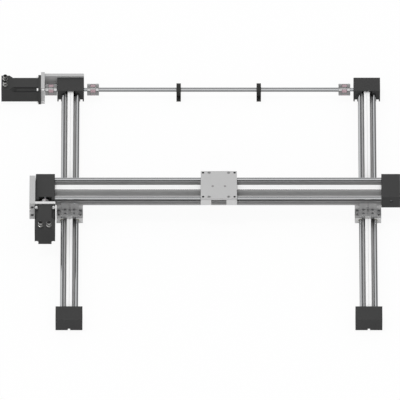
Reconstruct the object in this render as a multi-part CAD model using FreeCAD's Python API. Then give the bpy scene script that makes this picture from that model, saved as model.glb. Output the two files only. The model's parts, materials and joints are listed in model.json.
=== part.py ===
"""Flat two-axis belt gantry: two driven Y axes, a cross axis on their carriages, and its tool carriage.

The gantry is laid out in a frame of its own: X = 0 midway between the Y axes, Y = 0 at the middle of their
length, Z = 0 at the underside of their end blocks. Every piece is then moved so that the origin lies at the
middle of the bottom of the whole machine. All sizes are in millimetres.
"""
import FreeCAD, Part
import os

Vector = FreeCAD.Vector
CENTRE = Vector(0, 0, 0)
X_DIR = Vector(1, 0, 0)
Y_DIR = Vector(0, 1, 0)
Z_DIR = Vector(0, 0, 1)

# Layout of the machine
cross_lift = 48.8
drive_side_gap = 4.5
idler_side_gap = 0.5
carriage_rest_x = 0.0
y_axis_length = 947.6
y_rail_spacing = 40.0
y_block_width = 74.0
cross_axis_length = 1007.5
cross_rail_spacing = 74.0
cross_block_width = 90.0

# Sizes that both kinds of axis share, as heights above the underside of the end block
block_length = 52.6
block_height = 42.0
block_chamfer = 1.0
rail_radius = 5.0
rail_height = 28.0
profile_underside = 5.3
base_top = 19.5
base_overhang = 4.0
web_top = 30.0
web_outer_inset = 3.5
web_thickness = 5.0
seat_fit = 0.02
running_fit = 0.05

# Slots and chambers of the extruded profile
side_slot_height = 13.8
side_slot_opening = 3.8
side_slot_lip = 1.6
side_cavity_width = 7.0
side_cavity_depth = 3.5
foot_slot_inset = 6.5
foot_slot_opening = 3.8
foot_slot_lip = 1.6
foot_cavity_width = 7.0
foot_cavity_depth = 2.2
chamber_half_width = 11.0
chamber_floor = 8.3
chamber_top = 16.5
chamber_wall = 2.5

# Belt and toothed pulleys
pulley_height = 23.0
y_pulley_inset = 29.4
cross_pulley_inset = 26.0
pulley_teeth = 14
tooth_depth = 1.2
tooth_gap = 2.6
belt_width = 16.0
belt_body = 1.5
belt_back_radius = 12.0
belt_running_gap = 0.3
flange_rim = 2.3
flange_thickness = 1.5
pulley_hub_radius = 7.6
pocket_width = 27.0
pocket_gap = 1.0
pocket_floor = 7.5
pocket_top = 40.0

# Shafts and bearings
shaft_radius = 5.0
link_radius = 6.0
axle_radius = 4.0
axle_end_inset = 3.0
shaft_end_inset = 2.0
drive_bearing_radius = 13.0
drive_bearing_width = 8.0
bearing_recess = 1.0
idler_bearing_radius = 8.0
idler_bearing_width = 5.0
shaft_passage = 1.5

# Carriages
plate_thickness = 7.0
plate_top = 44.0
plate_corner = 2.0
housing_length = 29.0
housing_overhang = 16.5
housing_reach = 2.7
housing_inner_drop = 3.5
housing_leg_drop = 10.3
housing_leg_gap = 0.6
liner_wall = 1.5
y_carriage_length = 150.0
cross_carriage_length = 100.0
corner_hole_inset = 6.5
corner_hole_radius = 3.0
corner_hole_depth = 5.0
housing_screw_inset = 23.0
clamp_half_width = 15.2
clamp_length = 28.0
clamp_end_inset = 5.0
clamp_web_gap = 0.6
clamp_belt_gap = 0.3
clamp_screw_offset = 12.5
clamp_screw_insets = (12.0, 26.0)

# Table holes under the end blocks, the notches in them and the screws in their backs
foot_hole_radius = 2.5
foot_hole_depth = 14.0
foot_hole_offset = 28.0
foot_hole_inset = 8.0
side_notch_offset = 30.0
side_notch_width = 7.0
side_notch_height = 7.5
side_notch_depth = 8.0
end_notch = 6.5
wall_screw_offset = 20.0

# Seat of the cross profile on the Y carriages
adapter_overhang = 3.0
tab_width = 48.0
tab_thickness = 3.0
tab_top = 16.7
tab_screw_depth = 6.0

# Front cheek of the cross drive block, where the coupling dips in
cheek_thickness = 11.0
cheek_step = 1.0
coupling_pocket_radius = 18.0
coupling_pocket_depth = 8.0
crown = 1.3

# Jaw couplings
coupling_radius = 16.3
coupling_length = 32.6
hub_length = 11.5
hub_grip = 10.0
jaw_inner_radius = 7.8
jaw_sweep = 44.0
jaw_gap = 0.3
spider_ring_radius = 7.4
spider_bore_radius = 4.2
spider_leg_radius = 15.8
spider_leg_sweep = 12.0
spider_leg_root = 6.4
slit_width = 1.2
slit_depth = 8.0
jaws_per_hub = 3
link_coupling_gap = 9.05

# Shaft supports under the connecting shaft
support_offset = 111.5
support_thickness = 12.2
support_ring_radius = 17.8
support_foot_length = 48.0
support_foot_height = 8.0
support_neck_half = 12.0
support_hole_radius = 2.75
support_hole_inset = 5.0
support_bearing_radius = 10.5
support_bearing_width = 8.0

# Motors: both have the same square body, with its own lengths for each
motor_half = 28.2
motor_screw_offset = 23.57
motor_groove_radius = 7.0
motor_groove_run_out = 20.0
motor_shaft_radius = 4.0
motor_bearing_radius = 11.0
motor_bearing_width = 6.0
pilot_radius = 19.0
pilot_height = 2.0
motor_flange_corner = 4.0
motor_shaft_socket = 6.0
connector_radius = 6.4
connector_collar_radius = 7.0
connector_collar_height = 4.0
connector_height = 15.0
connector_spacing = 23.0
connector_recess = 3.0
connector_wall = 1.5
motor_edge = 1.5

y_flange_half = 30.0
y_flange_thickness = 7.5
y_stator_length = 80.9
y_rear_length = 22.0
y_connector_inset = 10.8
x_flange_half = 28.5
x_flange_thickness = 7.0
x_stator_length = 58.0
x_rear_length = 34.6
x_connector_inset = 13.5

# Brackets that carry the motors
y_motor_gap = 35.05
y_motor_plate_thickness = 10.2
y_motor_plate_half = 30.0
y_motor_plate_front = 25.0
y_wall_thickness = 10.2
y_wall_top = 47.0
x_motor_gap = 29.3
x_motor_plate_thickness = 8.4
x_bar_thickness = 16.0
x_bar_half_height = 30.0
x_bar_back = 26.8
bracket_screw_offset = 15.0
plate_screw_offset = 7.0
outward_margin = 1.0
bracket_screw_length = 16.0
end_screw_length = 12.0


class AxisSize:
    """Sizes of one linear axis, which runs along Y with its drive end at +Y."""

    def __init__(self, length, rail_spacing, block_width, pulley_inset, carriage_length, carriage_y, lightened):
        self.length = length
        self.rail_offset = rail_spacing / 2
        self.block_half = block_width / 2
        self.carriage_length = carriage_length
        self.carriage_y = carriage_y
        self.lightened = lightened
        self.profile_half = length / 2 - block_length
        self.pulley_y = length / 2 - pulley_inset
        self.base_half = self.rail_offset + base_overhang
        self.web_outer = self.rail_offset - web_outer_inset
        self.plate_half = self.rail_offset + housing_overhang


class ScrewSize:
    """A socket screw: its head and its shank."""

    def __init__(self, head_radius, head_height, shank_radius):
        self.head_radius = head_radius
        self.head_height = head_height
        self.shank_radius = shank_radius


SMALL_SCREW = ScrewSize(3.2, 2.4, 2.0)
LARGE_SCREW = ScrewSize(4.2, 4.4, 2.5)
head_clearance = 0.3
tip_clearance = 0.3

Y_AXIS = AxisSize(y_axis_length, y_rail_spacing, y_block_width, y_pulley_inset, y_carriage_length, 0.0, False)
cross_centre = (idler_side_gap - drive_side_gap) / 2
axis_spacing = cross_axis_length - 2 * (block_length + Y_AXIS.plate_half) - drive_side_gap - idler_side_gap
CROSS_AXIS = AxisSize(cross_axis_length, cross_rail_spacing, cross_block_width, cross_pulley_inset,
                      cross_carriage_length, cross_centre - carriage_rest_x, True)

# Heights and places worked out from the sizes above
belt_inner_radius = belt_back_radius - belt_body
pulley_radius = belt_inner_radius - belt_running_gap
pulley_face = belt_width + 2 * clamp_belt_gap
flange_radius = pulley_radius + flange_rim
plate_underside = plate_top - plate_thickness
left_x = -axis_spacing / 2
right_x = axis_spacing / 2
shaft_y = Y_AXIS.pulley_y
wall_front = Y_AXIS.length / 2
y_plate_face = left_x - Y_AXIS.block_half - y_motor_gap
y_motor_face = y_plate_face - y_motor_plate_thickness
cross_outer_x = cross_centre - CROSS_AXIS.length / 2
x_motor_x = cross_centre - CROSS_AXIS.pulley_y
x_motor_z = cross_lift + pulley_height
x_plate_face = -CROSS_AXIS.block_half - x_motor_gap
x_motor_face = x_plate_face - x_motor_plate_thickness
bar_right = cross_outer_x - crown
bar_left = bar_right - x_bar_thickness
y_coupling_inset = (y_motor_gap - coupling_length) / 2
x_coupling_inset = (x_motor_gap + coupling_pocket_depth - coupling_length) / 2
support_hole_offset = support_foot_length / 2 - support_hole_inset
machine_left = y_motor_face - y_flange_thickness - y_stator_length - y_rear_length
machine_right = cross_centre + CROSS_AXIS.length / 2
machine_front = -Y_AXIS.length / 2
machine_back = wall_front + y_wall_thickness
machine_bottom = min(0.0, pulley_height - y_flange_half, pulley_height - y_motor_plate_half)
ORIGIN = Vector((machine_left + machine_right) / 2, (machine_front + machine_back) / 2, machine_bottom)


def box(x0, x1, y0, y1, z0, z1):
    """A box between two corners."""
    return Part.makeBox(x1 - x0, y1 - y0, z1 - z0, Vector(x0, y0, z0))


def rod(radius, start, direction, length):
    """A round bar that starts at a point and runs along a direction."""
    return Part.makeCylinder(radius, length, start, direction)


def tube(outer_radius, inner_radius, start, direction, length):
    """A round bar with a bore through it."""
    return rod(outer_radius, start, direction, length).cut(rod(inner_radius, start, direction, length))


def rect_section(u0, u1, w0, w1):
    """A rectangle across the axis, as a face to cut, fuse and extrude."""
    corners = [Vector(u0, 0, w0), Vector(u1, 0, w0), Vector(u1, 0, w1), Vector(u0, 0, w1), Vector(u0, 0, w0)]
    return Part.Face(Part.makePolygon(corners))


def disc_section(radius, u, w):
    """A disc across the axis, as a face to cut, fuse and extrude."""
    return Part.Face(Part.Wire(Part.makeCircle(radius, Vector(u, 0, w), Y_DIR)))


def extrude_section(section, y0, y1):
    """The solid that a section sweeps along Y."""
    start = section.removeSplitter().translated(Vector(0, y0, 0))
    return start.extrude(Vector(0, y1 - y0, 0)).Solids[0]


def screw(size, seat, direction, length):
    """A screw whose head rests on seat and whose shank runs along direction."""
    head = rod(size.head_radius, seat, direction * -1, size.head_height)
    return head.fuse(rod(size.shank_radius, seat, direction, length)).removeSplitter()


def screw_hole(size, seat, direction, length, recess):
    """The cutter for a screw: its shank's hole and the room for its head, as deep as recess."""
    shank = rod(size.shank_radius + running_fit, seat, direction, length + tip_clearance)
    if recess <= 0:
        return shank
    return shank.fuse(rod(size.head_radius + head_clearance, seat, direction * -1, recess))


def on_left(shape):
    """Moves a shape from the axis frame to the left Y axis."""
    return shape.translated(Vector(left_x, 0, 0))


def on_right(shape):
    """Moves a shape from the axis frame to the right Y axis."""
    return shape.translated(Vector(right_x, 0, 0))


def on_both(shape):
    """The shape on the left and on the right Y axis."""
    return [on_left(shape), on_right(shape)]


def on_cross(shape):
    """Moves a shape from the axis frame to the cross axis, whose drive end points to -X."""
    return shape.rotated(CENTRE, Z_DIR, 90).translated(Vector(cross_centre, 0, cross_lift))


def turned(shape):
    """The shape at the other end of the axis."""
    return shape.rotated(CENTRE, Z_DIR, 180)


def profile(axis):
    """The slotted extruded profile: wide base, two webs with the rails' seats, chambers and slots."""
    section = rect_section(-axis.base_half, axis.base_half, profile_underside, base_top)
    cuts = [rect_section(-chamber_half_width, chamber_half_width, chamber_floor, chamber_top)]
    for side in (-1, 1):
        web_inner = axis.web_outer - web_thickness
        edges = sorted((side * web_inner, side * axis.web_outer))
        section = section.fuse(rect_section(edges[0], edges[1], base_top, web_top))
        cuts.append(disc_section(rail_radius + seat_fit, side * axis.rail_offset, rail_height))
        outer = side * axis.base_half
        lip = side * (axis.base_half - side_slot_lip)
        depth = side * (axis.base_half - side_slot_lip - side_cavity_depth)
        low = side_slot_height - side_slot_opening / 2
        cuts.append(rect_section(*sorted((outer, lip)), low, low + side_slot_opening))
        low = side_slot_height - side_cavity_width / 2
        cuts.append(rect_section(*sorted((lip, depth)), low, low + side_cavity_width))
        foot = side * (axis.base_half - foot_slot_inset)
        half = foot_slot_opening / 2
        lip_top = profile_underside + foot_slot_lip
        cuts.append(rect_section(foot - half, foot + half, profile_underside, lip_top))
        half = foot_cavity_width / 2
        cuts.append(rect_section(foot - half, foot + half, lip_top, lip_top + foot_cavity_depth))
        if axis.lightened:
            inner = chamber_half_width + chamber_wall
            limit = axis.base_half - foot_slot_inset - foot_cavity_width / 2 - chamber_wall
            edges = sorted((side * inner, side * limit))
            cuts.append(rect_section(edges[0], edges[1], chamber_floor, chamber_top))
    return extrude_section(section.cut(cuts), -axis.profile_half, axis.profile_half)


def rails(axis):
    """The two round rails, as long as the profile that carries them."""
    length = 2 * axis.profile_half
    return [rod(rail_radius, Vector(side * axis.rail_offset, -axis.profile_half, rail_height), Y_DIR, length)
            for side in (-1, 1)]


def end_block(axis):
    """The body of an end block at +Y, with its belt pocket and the holes under it."""
    outer = axis.length / 2
    inner = axis.profile_half
    body = box(-axis.block_half, axis.block_half, inner, outer, 0, block_height)
    rim = [edge for edge in body.Edges
           if edge.BoundBox.YMin > outer - block_chamfer or edge.BoundBox.ZMin > block_height - block_chamfer]
    body = body.makeChamfer(block_chamfer, rim)
    reach = axis.pulley_y + flange_radius + pocket_gap
    cuts = [box(-pocket_width / 2, pocket_width / 2, inner, reach, pocket_floor, pocket_top)]
    for side in (-1, 1):
        start = Vector(side * foot_hole_offset, outer - foot_hole_inset, 0)
        cuts.append(rod(foot_hole_radius, start, Z_DIR, foot_hole_depth))
    return body.cut(cuts)


def drive_block(axis):
    """A drive end block, with a bearing seat in each side and two notches at its inner foot."""
    block = end_block(axis)
    half = axis.block_half
    cuts = [rod(shaft_radius + shaft_passage, Vector(-half, axis.pulley_y, pulley_height), X_DIR, 2 * half)]
    seat_depth = drive_bearing_width + bearing_recess
    for side in (-1, 1):
        start = Vector(side * half, axis.pulley_y, pulley_height)
        cuts.append(rod(drive_bearing_radius + seat_fit, start, X_DIR * -side, seat_depth))
        notch = side * side_notch_offset
        inner = axis.profile_half
        cuts.append(box(notch - side_notch_width / 2, notch + side_notch_width / 2,
                        inner, inner + side_notch_depth, 0, side_notch_height))
    return block.cut(cuts)


def idler_block(axis):
    """An idler end block, turned to the -Y end, with the axle's bores and a notch in its outer foot."""
    block = end_block(axis)
    outer = axis.length / 2
    half = axis.block_half
    bore = rod(axle_radius + seat_fit, Vector(-half, axis.pulley_y, pulley_height), X_DIR, 2 * half)
    notch = box(-end_notch / 2, end_notch / 2, outer - end_notch, outer, 0, end_notch)
    return turned(block.cut([bore, notch]))


def cross_drive_block():
    """The cross axis's drive block: crowned outer face, and a cheek round the dipped coupling."""
    axis = CROSS_AXIS
    outer = axis.length / 2
    half = axis.block_half
    low = block_chamfer
    ends = [Vector(-half + block_chamfer, outer, low), Vector(half - block_chamfer, outer, low)]
    arc = Part.Arc(ends[0], Vector(0, outer + crown, low), ends[1]).toShape()
    chord = Part.LineSegment(ends[1], ends[0]).toShape()
    bulge = Part.Face(Part.Wire([arc, chord])).extrude(Vector(0, 0, block_height - 2 * block_chamfer))
    front = -half - cheek_thickness
    cheek = box(front, -half, axis.profile_half, outer + cheek_step, 0, block_height)
    block = drive_block(axis).fuse([bulge, cheek]).removeSplitter()
    start = Vector(front, axis.pulley_y, pulley_height)
    pocket = rod(coupling_pocket_radius, start, X_DIR, cheek_thickness + coupling_pocket_depth)
    mouth = box(front, -half, axis.pulley_y - coupling_pocket_radius, axis.pulley_y + coupling_pocket_radius,
                pulley_height, block_height)
    seat_start = Vector(-half + coupling_pocket_depth, axis.pulley_y, pulley_height)
    seat = rod(drive_bearing_radius + seat_fit, seat_start, X_DIR, drive_bearing_width + bearing_recess)
    return block.cut([pocket, mouth, seat])


def ball_bearing(outer_radius, inner_radius, start, direction, width):
    """A shielded ball bearing as one closed ring."""
    return tube(outer_radius, inner_radius, start, direction, width)


def drive_bearings(axis, front_recess):
    """The two bearings of a drive block, with the front one set deeper by front_recess."""
    bearings = []
    for side, recess in ((-1, front_recess + bearing_recess), (1, bearing_recess)):
        start = Vector(side * (axis.block_half - recess), axis.pulley_y, pulley_height)
        bearings.append(ball_bearing(drive_bearing_radius, shaft_radius + running_fit, start, X_DIR * -side,
                                     drive_bearing_width))
    return bearings


def belt(axis):
    """The closed belt: two straight runs and a half turn round each pulley."""
    solids = []
    for radius in (belt_back_radius, belt_inner_radius):
        side = -belt_width / 2
        span = axis.pulley_y
        top = pulley_height + radius
        low = pulley_height - radius
        edges = [
            Part.LineSegment(Vector(side, -span, top), Vector(side, span, top)).toShape(),
            Part.Arc(Vector(side, span, top), Vector(side, span + radius, pulley_height),
                     Vector(side, span, low)).toShape(),
            Part.LineSegment(Vector(side, span, low), Vector(side, -span, low)).toShape(),
            Part.Arc(Vector(side, -span, low), Vector(side, -span - radius, pulley_height),
                     Vector(side, -span, top)).toShape(),
        ]
        solids.append(Part.Face(Part.Wire(edges)).extrude(X_DIR * belt_width))
    return solids[0].cut(solids[1])


def toothed_pulley(bore_radius, y):
    """A toothed pulley across the axis, with a flange at each side of the belt."""
    reach = pocket_width / 2 - pocket_gap
    face = pulley_face / 2
    toothed = rod(pulley_radius, Vector(-face, 0, 0), X_DIR, pulley_face)
    floor = pulley_radius - tooth_depth
    grooves = []
    for index in range(pulley_teeth):
        groove = box(-face, face, -tooth_gap / 2, tooth_gap / 2, floor, pulley_radius + tooth_depth)
        grooves.append(groove.rotated(CENTRE, X_DIR, index * 360 / pulley_teeth))
    body = toothed.cut(grooves)
    body = body.fuse([rod(flange_radius, Vector(start, 0, 0), X_DIR, flange_thickness)
                      for start in (-face - flange_thickness, face)])
    body = body.fuse([rod(pulley_hub_radius, Vector(start, 0, 0), X_DIR, reach - face - flange_thickness)
                      for start in (-reach, face + flange_thickness)])
    body = body.cut(rod(bore_radius, Vector(-reach, 0, 0), X_DIR, 2 * reach)).removeSplitter()
    return body.translated(Vector(0, y, pulley_height))


def idler_pulley(axis):
    """The idler's pulley, which runs on the outer rings of its two bearings."""
    return toothed_pulley(idler_bearing_radius + running_fit, -axis.pulley_y)


def idler_axle(axis):
    """The fixed axle of an idler, held in the block's walls."""
    reach = axis.block_half - axle_end_inset
    return rod(axle_radius, Vector(-reach, -axis.pulley_y, pulley_height), X_DIR, 2 * reach)


def idler_bearings(axis):
    """The two bearings on an idler's axle."""
    reach = pulley_face / 2
    bearings = []
    for start in (-reach, reach - idler_bearing_width):
        place = Vector(start, -axis.pulley_y, pulley_height)
        bearings.append(ball_bearing(idler_bearing_radius, axle_radius + seat_fit, place, X_DIR,
                                     idler_bearing_width))
    return bearings


def corner_signs():
    """The four corners of a plate, as signs of its two half sizes."""
    return [(across, along) for across in (-1, 1) for along in (-1, 1)]


class Carriage:
    """A carriage: plate, four lined bearing housings, belt clamps and screws, in the axis frame."""

    def __init__(self, axis, clamp_screws_shown):
        self.axis = axis
        self.half_length = axis.carriage_length / 2
        self.hole_u = axis.plate_half - corner_hole_inset
        self.hole_y = self.half_length - corner_hole_inset
        self.screw_y = self.half_length - housing_screw_inset
        self.clamp_screws_shown = clamp_screws_shown
        self.screw_seat = plate_top - LARGE_SCREW.head_height - head_clearance
        self.screw_length = self.screw_seat - plate_underside + corner_hole_depth
        self.clamp_seat = plate_top - SMALL_SCREW.head_height - head_clearance
        self.clamp_screw_length = self.clamp_seat - (web_top + clamp_web_gap) - tip_clearance

    def housing_screws(self):
        """Seats of the screws that hold the housings."""
        return [Vector(across * self.hole_u, along * self.screw_y, self.screw_seat)
                for across, along in corner_signs()]

    def clamp_screws(self):
        """Seats of the screws that hold the belt clamps."""
        if not self.clamp_screws_shown:
            return []
        return [Vector(across * clamp_screw_offset, along * (self.half_length - inset), self.clamp_seat)
                for across, along in corner_signs() for inset in clamp_screw_insets]

    def holes(self):
        """The cutters of every hole in the plate and in what lies under it."""
        down = Z_DIR * -1
        cuts = []
        for across, along in corner_signs():
            start = Vector(across * self.hole_u, along * self.hole_y, plate_top)
            cuts.append(rod(corner_hole_radius, start, down, plate_thickness + corner_hole_depth))
        for seat in self.housing_screws():
            cuts.append(screw_hole(LARGE_SCREW, seat, down, self.screw_length, plate_top - seat.z))
        for seat in self.clamp_screws():
            cuts.append(screw_hole(SMALL_SCREW, seat, down, self.clamp_screw_length, plate_top - seat.z))
        return cuts

    def place(self, shape):
        """Moves a shape to where the carriage stands on its axis."""
        return shape.translated(Vector(0, self.axis.carriage_y, 0))

    def plate(self):
        """The carriage plate, with rounded corners."""
        half = self.axis.plate_half
        body = box(-half, half, -self.half_length, self.half_length, plate_underside, plate_top)
        upright = [edge for edge in body.Edges if edge.BoundBox.ZLength > plate_thickness / 2]
        return self.place(body.makeFillet(plate_corner, upright).cut(self.holes()))

    def housing_section(self, across):
        """The housing's section before its bore: a block over the rail and a leg beside the base."""
        inner = across * (self.axis.rail_offset - housing_reach)
        leg = across * (self.axis.base_half + housing_leg_gap)
        outer = across * self.axis.plate_half
        block = rect_section(*sorted((inner, outer)), rail_height - housing_inner_drop, plate_underside)
        low = rail_height - housing_leg_drop
        return block.fuse(rect_section(*sorted((leg, outer)), low, plate_underside))

    def housings(self):
        """The four bearing housings."""
        solids = []
        for across, along in corner_signs():
            centre = across * self.axis.rail_offset
            bore = disc_section(rail_radius + running_fit + liner_wall, centre, rail_height)
            section = self.housing_section(across).cut(bore)
            ends = sorted((along * self.half_length, along * (self.half_length - housing_length)))
            solids.append(self.place(extrude_section(section, ends[0], ends[1]).cut(self.holes())))
        return solids

    def liners(self):
        """The plastic sliding liners in the housings."""
        solids = []
        for across, along in corner_signs():
            centre = across * self.axis.rail_offset
            ring = disc_section(rail_radius + running_fit + liner_wall - seat_fit, centre, rail_height)
            ring = ring.cut(disc_section(rail_radius + running_fit, centre, rail_height))
            section = ring.common(self.housing_section(across))
            ends = sorted((along * self.half_length, along * (self.half_length - housing_length)))
            solids.append(self.place(extrude_section(section, ends[0], ends[1])))
        return solids

    def clamps(self):
        """The two belt clamps, each with a channel for the belt and its teeth."""
        belt_back = pulley_height + belt_back_radius
        channel_floor = belt_back - belt_body - tooth_depth - clamp_belt_gap
        section = rect_section(-clamp_half_width, clamp_half_width, web_top + clamp_web_gap, plate_underside)
        channel = rect_section(-belt_width / 2 - clamp_belt_gap, belt_width / 2 + clamp_belt_gap,
                               channel_floor, belt_back + clamp_belt_gap)
        solids = []
        for along in (-1, 1):
            outer = along * (self.half_length - clamp_end_inset)
            ends = sorted((outer, outer - along * clamp_length))
            solid = extrude_section(section.cut(channel), ends[0], ends[1])
            solids.append(self.place(solid.cut(self.holes())))
        return solids

    def screws(self):
        """All screws of the carriage."""
        down = Z_DIR * -1
        solids = [screw(LARGE_SCREW, seat, down, self.screw_length) for seat in self.housing_screws()]
        solids += [screw(SMALL_SCREW, seat, down, self.clamp_screw_length) for seat in self.clamp_screws()]
        return [self.place(solid) for solid in solids]


class ProfileSeat:
    """What holds the cross profile on one Y carriage: an adapter plate, and a tab at each side of it."""

    def __init__(self):
        self.half_width = Y_AXIS.plate_half
        self.half_depth = CROSS_AXIS.base_half + adapter_overhang
        self.top = cross_lift + profile_underside
        self.slot_z = cross_lift + side_slot_height
        self.low_z = (plate_top + self.top) / 2

    def seats(self):
        """Seat and direction of each tab screw."""
        found = []
        for side in (-1, 1):
            for z in (self.low_z, self.slot_z):
                found.append((Vector(0, side * (self.half_depth + tab_thickness), z), Y_DIR * -side))
        return found

    def holes(self):
        """The cutters of the tab screws."""
        return [screw_hole(SMALL_SCREW, seat, direction, tab_screw_depth, 0)
                for seat, direction in self.seats()]

    def adapter(self):
        """The adapter plate under the profile."""
        body = box(-self.half_width, self.half_width, -self.half_depth, self.half_depth, plate_top, self.top)
        return body.cut(self.holes())

    def tabs(self):
        """The two tabs that reach from the adapter plate to the profile's side slots."""
        solids = []
        for side in (-1, 1):
            face = sorted((side * self.half_depth, side * (self.half_depth + tab_thickness)))
            body = box(-tab_width / 2, tab_width / 2, face[0], face[1], plate_top + tip_clearance,
                       cross_lift + tab_top)
            tongue_half = side_slot_opening / 2 - tip_clearance
            depth = sorted((side * self.half_depth, side * (CROSS_AXIS.base_half - side_slot_lip)))
            tongue = box(-tab_width / 2, tab_width / 2, depth[0], depth[1], self.slot_z - tongue_half,
                         self.slot_z + tongue_half)
            solids.append(body.fuse(tongue).removeSplitter().cut(self.holes()))
        return solids

    def screws(self):
        """The tab screws; the upper ones end inside the tongue."""
        return [screw(SMALL_SCREW, seat, direction, tab_screw_depth) for seat, direction in self.seats()]


class Motor:
    """A square motor whose shaft points to +Y and whose mounting face lies at Y = 0."""

    def __init__(self, flange_half, flange_thickness, stator_length, rear_length, connector_inset):
        self.flange_half = flange_half
        self.flange_thickness = flange_thickness
        self.stator_back = -flange_thickness - stator_length
        self.rear_back = self.stator_back - rear_length
        self.connector_y = self.rear_back + connector_inset

    def square(self, half, y0, y1, corner):
        """A square prism round the motor's axis, with rounded long edges."""
        body = box(-half, half, y0, y1, -half, half)
        long_edges = [edge for edge in body.Edges if edge.BoundBox.YLength > (y1 - y0) / 2]
        return body.makeFillet(corner, long_edges)

    def flange(self, plate_thickness):
        """The front flange, with its pilot, its bearing seat and the holes of its screws."""
        body = self.square(self.flange_half, -self.flange_thickness, 0, motor_flange_corner)
        body = body.fuse(rod(pilot_radius, CENTRE, Y_DIR, pilot_height)).removeSplitter()
        back = Vector(0, -self.flange_thickness, 0)
        seat = rod(motor_bearing_radius + seat_fit, back, Y_DIR, motor_bearing_width)
        bore = rod(motor_shaft_radius + shaft_passage, back, Y_DIR, self.flange_thickness + pilot_height)
        return body.cut([seat, bore] + self.screw_holes(plate_thickness))

    def bearing(self):
        """The front bearing, in the flange."""
        back = Vector(0, -self.flange_thickness, 0)
        return ball_bearing(motor_bearing_radius, motor_shaft_radius + running_fit, back, Y_DIR,
                            motor_bearing_width)

    def groove(self, across, up, y0, y1):
        """The cutter of one corner groove: a channel round the line of a flange screw, open at the corner."""
        centre = Vector(across * motor_screw_offset, y0, up * motor_screw_offset)
        channel = rod(motor_groove_radius, centre, Y_DIR, y1 - y0)
        us = sorted((across * motor_screw_offset, across * (motor_half + outward_margin)))
        ws = sorted((up * motor_screw_offset, up * (motor_half + outward_margin)))
        return channel.fuse(box(us[0], us[1], y0, y1, ws[0], ws[1]))

    def run_out(self, across):
        """The slope at the end of an upper groove, from its floor up to the corner of the rear housing."""
        diagonal = 2 ** 0.5
        floor = motor_screw_offset * diagonal - motor_groove_radius
        low = Vector(-motor_half, self.stator_back, floor)
        front = Vector(-motor_half, self.stator_back + motor_groove_run_out, floor)
        high = Vector(-motor_half, self.stator_back, motor_half * diagonal)
        slope = Part.Face(Part.makePolygon([low, front, high, low])).extrude(X_DIR * 2 * motor_half)
        return slope.rotated(CENTRE, Y_DIR, across * 45)

    def stator(self):
        """The middle of the motor: grooves that run out at the top, and the blind end of the shaft's bore."""
        back = self.stator_back
        front = -self.flange_thickness
        cuts = [rod(motor_shaft_radius + shaft_passage, Vector(0, front, 0), Y_DIR * -1,
                    motor_shaft_socket + tip_clearance)]
        for across in (-1, 1):
            cuts.append(self.groove(across, 1, back, front).cut(self.run_out(across)))
            cuts.append(self.groove(across, -1, back, front))
        return self.square(motor_half, back, front, motor_edge).cut(cuts)

    def rear(self):
        """The rear housing: full upper corners under the connectors, and lower ones grooved like the middle."""
        body = self.square(motor_half, self.rear_back, self.stator_back, motor_edge)
        return body.cut([self.groove(across, -1, self.rear_back, self.stator_back) for across in (-1, 1)])

    def connectors(self):
        """The two round connectors that stand on the rear housing."""
        solids = []
        for side in (-1, 1):
            foot = Vector(side * connector_spacing / 2, self.connector_y, motor_half)
            plug = rod(connector_radius, foot, Z_DIR, connector_height)
            collar = rod(connector_collar_radius, foot, Z_DIR, connector_collar_height)
            mouth = foot + Z_DIR * (connector_height - connector_recess)
            recess = rod(connector_radius - connector_wall, mouth, Z_DIR, connector_recess)
            solids.append(plug.fuse(collar).removeSplitter().cut(recess))
        return solids

    def screw_seats(self):
        """Seats of the flange screws, whose heads lie in the corner grooves."""
        return [Vector(across * motor_screw_offset, -self.flange_thickness, up * motor_screw_offset)
                for across, up in corner_signs()]

    def screws(self, plate_thickness):
        """The flange screws, which end inside the motor plate."""
        length = self.flange_thickness + plate_thickness - tip_clearance
        return [screw(LARGE_SCREW, seat, Y_DIR, length) for seat in self.screw_seats()]

    def screw_holes(self, plate_thickness):
        """The cutters of the flange screws."""
        length = self.flange_thickness + plate_thickness - tip_clearance
        return [screw_hole(LARGE_SCREW, seat, Y_DIR, length, 0) for seat in self.screw_seats()]


def wedge(outer_radius, inner_radius, middle_angle, sweep, y0, length):
    """A sector of a ring round the Y axis."""
    sector = Part.makeCylinder(outer_radius, length, Vector(0, y0, 0), Y_DIR, sweep)
    sector = sector.cut(rod(inner_radius, Vector(0, y0, 0), Y_DIR, length))
    return sector.rotated(CENTRE, Y_DIR, middle_angle - sweep / 2)


def coupling_hubs(near_radius, far_radius):
    """The two clamping hubs of a jaw coupling along Y, which starts at Y = 0."""
    hubs = []
    jaw_length = coupling_length - 2 * hub_length - jaw_gap
    pitch = 360 / jaws_per_hub
    for bore_radius in (near_radius, far_radius):
        body = rod(coupling_radius, CENTRE, Y_DIR, hub_length)
        jaws = [wedge(coupling_radius, jaw_inner_radius, pitch / 4 + index * pitch, jaw_sweep, hub_length,
                      jaw_length) for index in range(jaws_per_hub)]
        body = body.fuse(jaws).removeSplitter()
        slit = box(-slit_width / 2, slit_width / 2, 0, slit_depth, 0, coupling_radius)
        body = body.cut([rod(bore_radius + seat_fit, CENTRE, Y_DIR, hub_length), slit])
        hubs.append(body)
    middle = Vector(0, coupling_length / 2, 0)
    hubs[1] = hubs[1].mirror(middle, Y_DIR).rotated(CENTRE, Y_DIR, pitch / 2)
    return hubs


def coupling_spider():
    """The elastic spider between the jaws of a coupling."""
    start = hub_length + jaw_gap
    length = coupling_length - 2 * start
    ring = tube(spider_ring_radius, spider_bore_radius, Vector(0, start, 0), Y_DIR, length)
    pitch = 180 / jaws_per_hub
    legs = [wedge(spider_leg_radius, spider_leg_root, index * pitch, spider_leg_sweep, start, length)
            for index in range(2 * jaws_per_hub)]
    return ring.fuse(legs).removeSplitter()


def along_x(shape, x, y, z):
    """Turns a shape that runs along Y to run along X, and sets its start at a point."""
    return shape.rotated(CENTRE, Z_DIR, -90).translated(Vector(x, y, z))


def y_motor_place(shape):
    """Moves a shape from the motor's frame to the Y motor."""
    return along_x(shape, y_motor_face, shaft_y, pulley_height)


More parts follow.
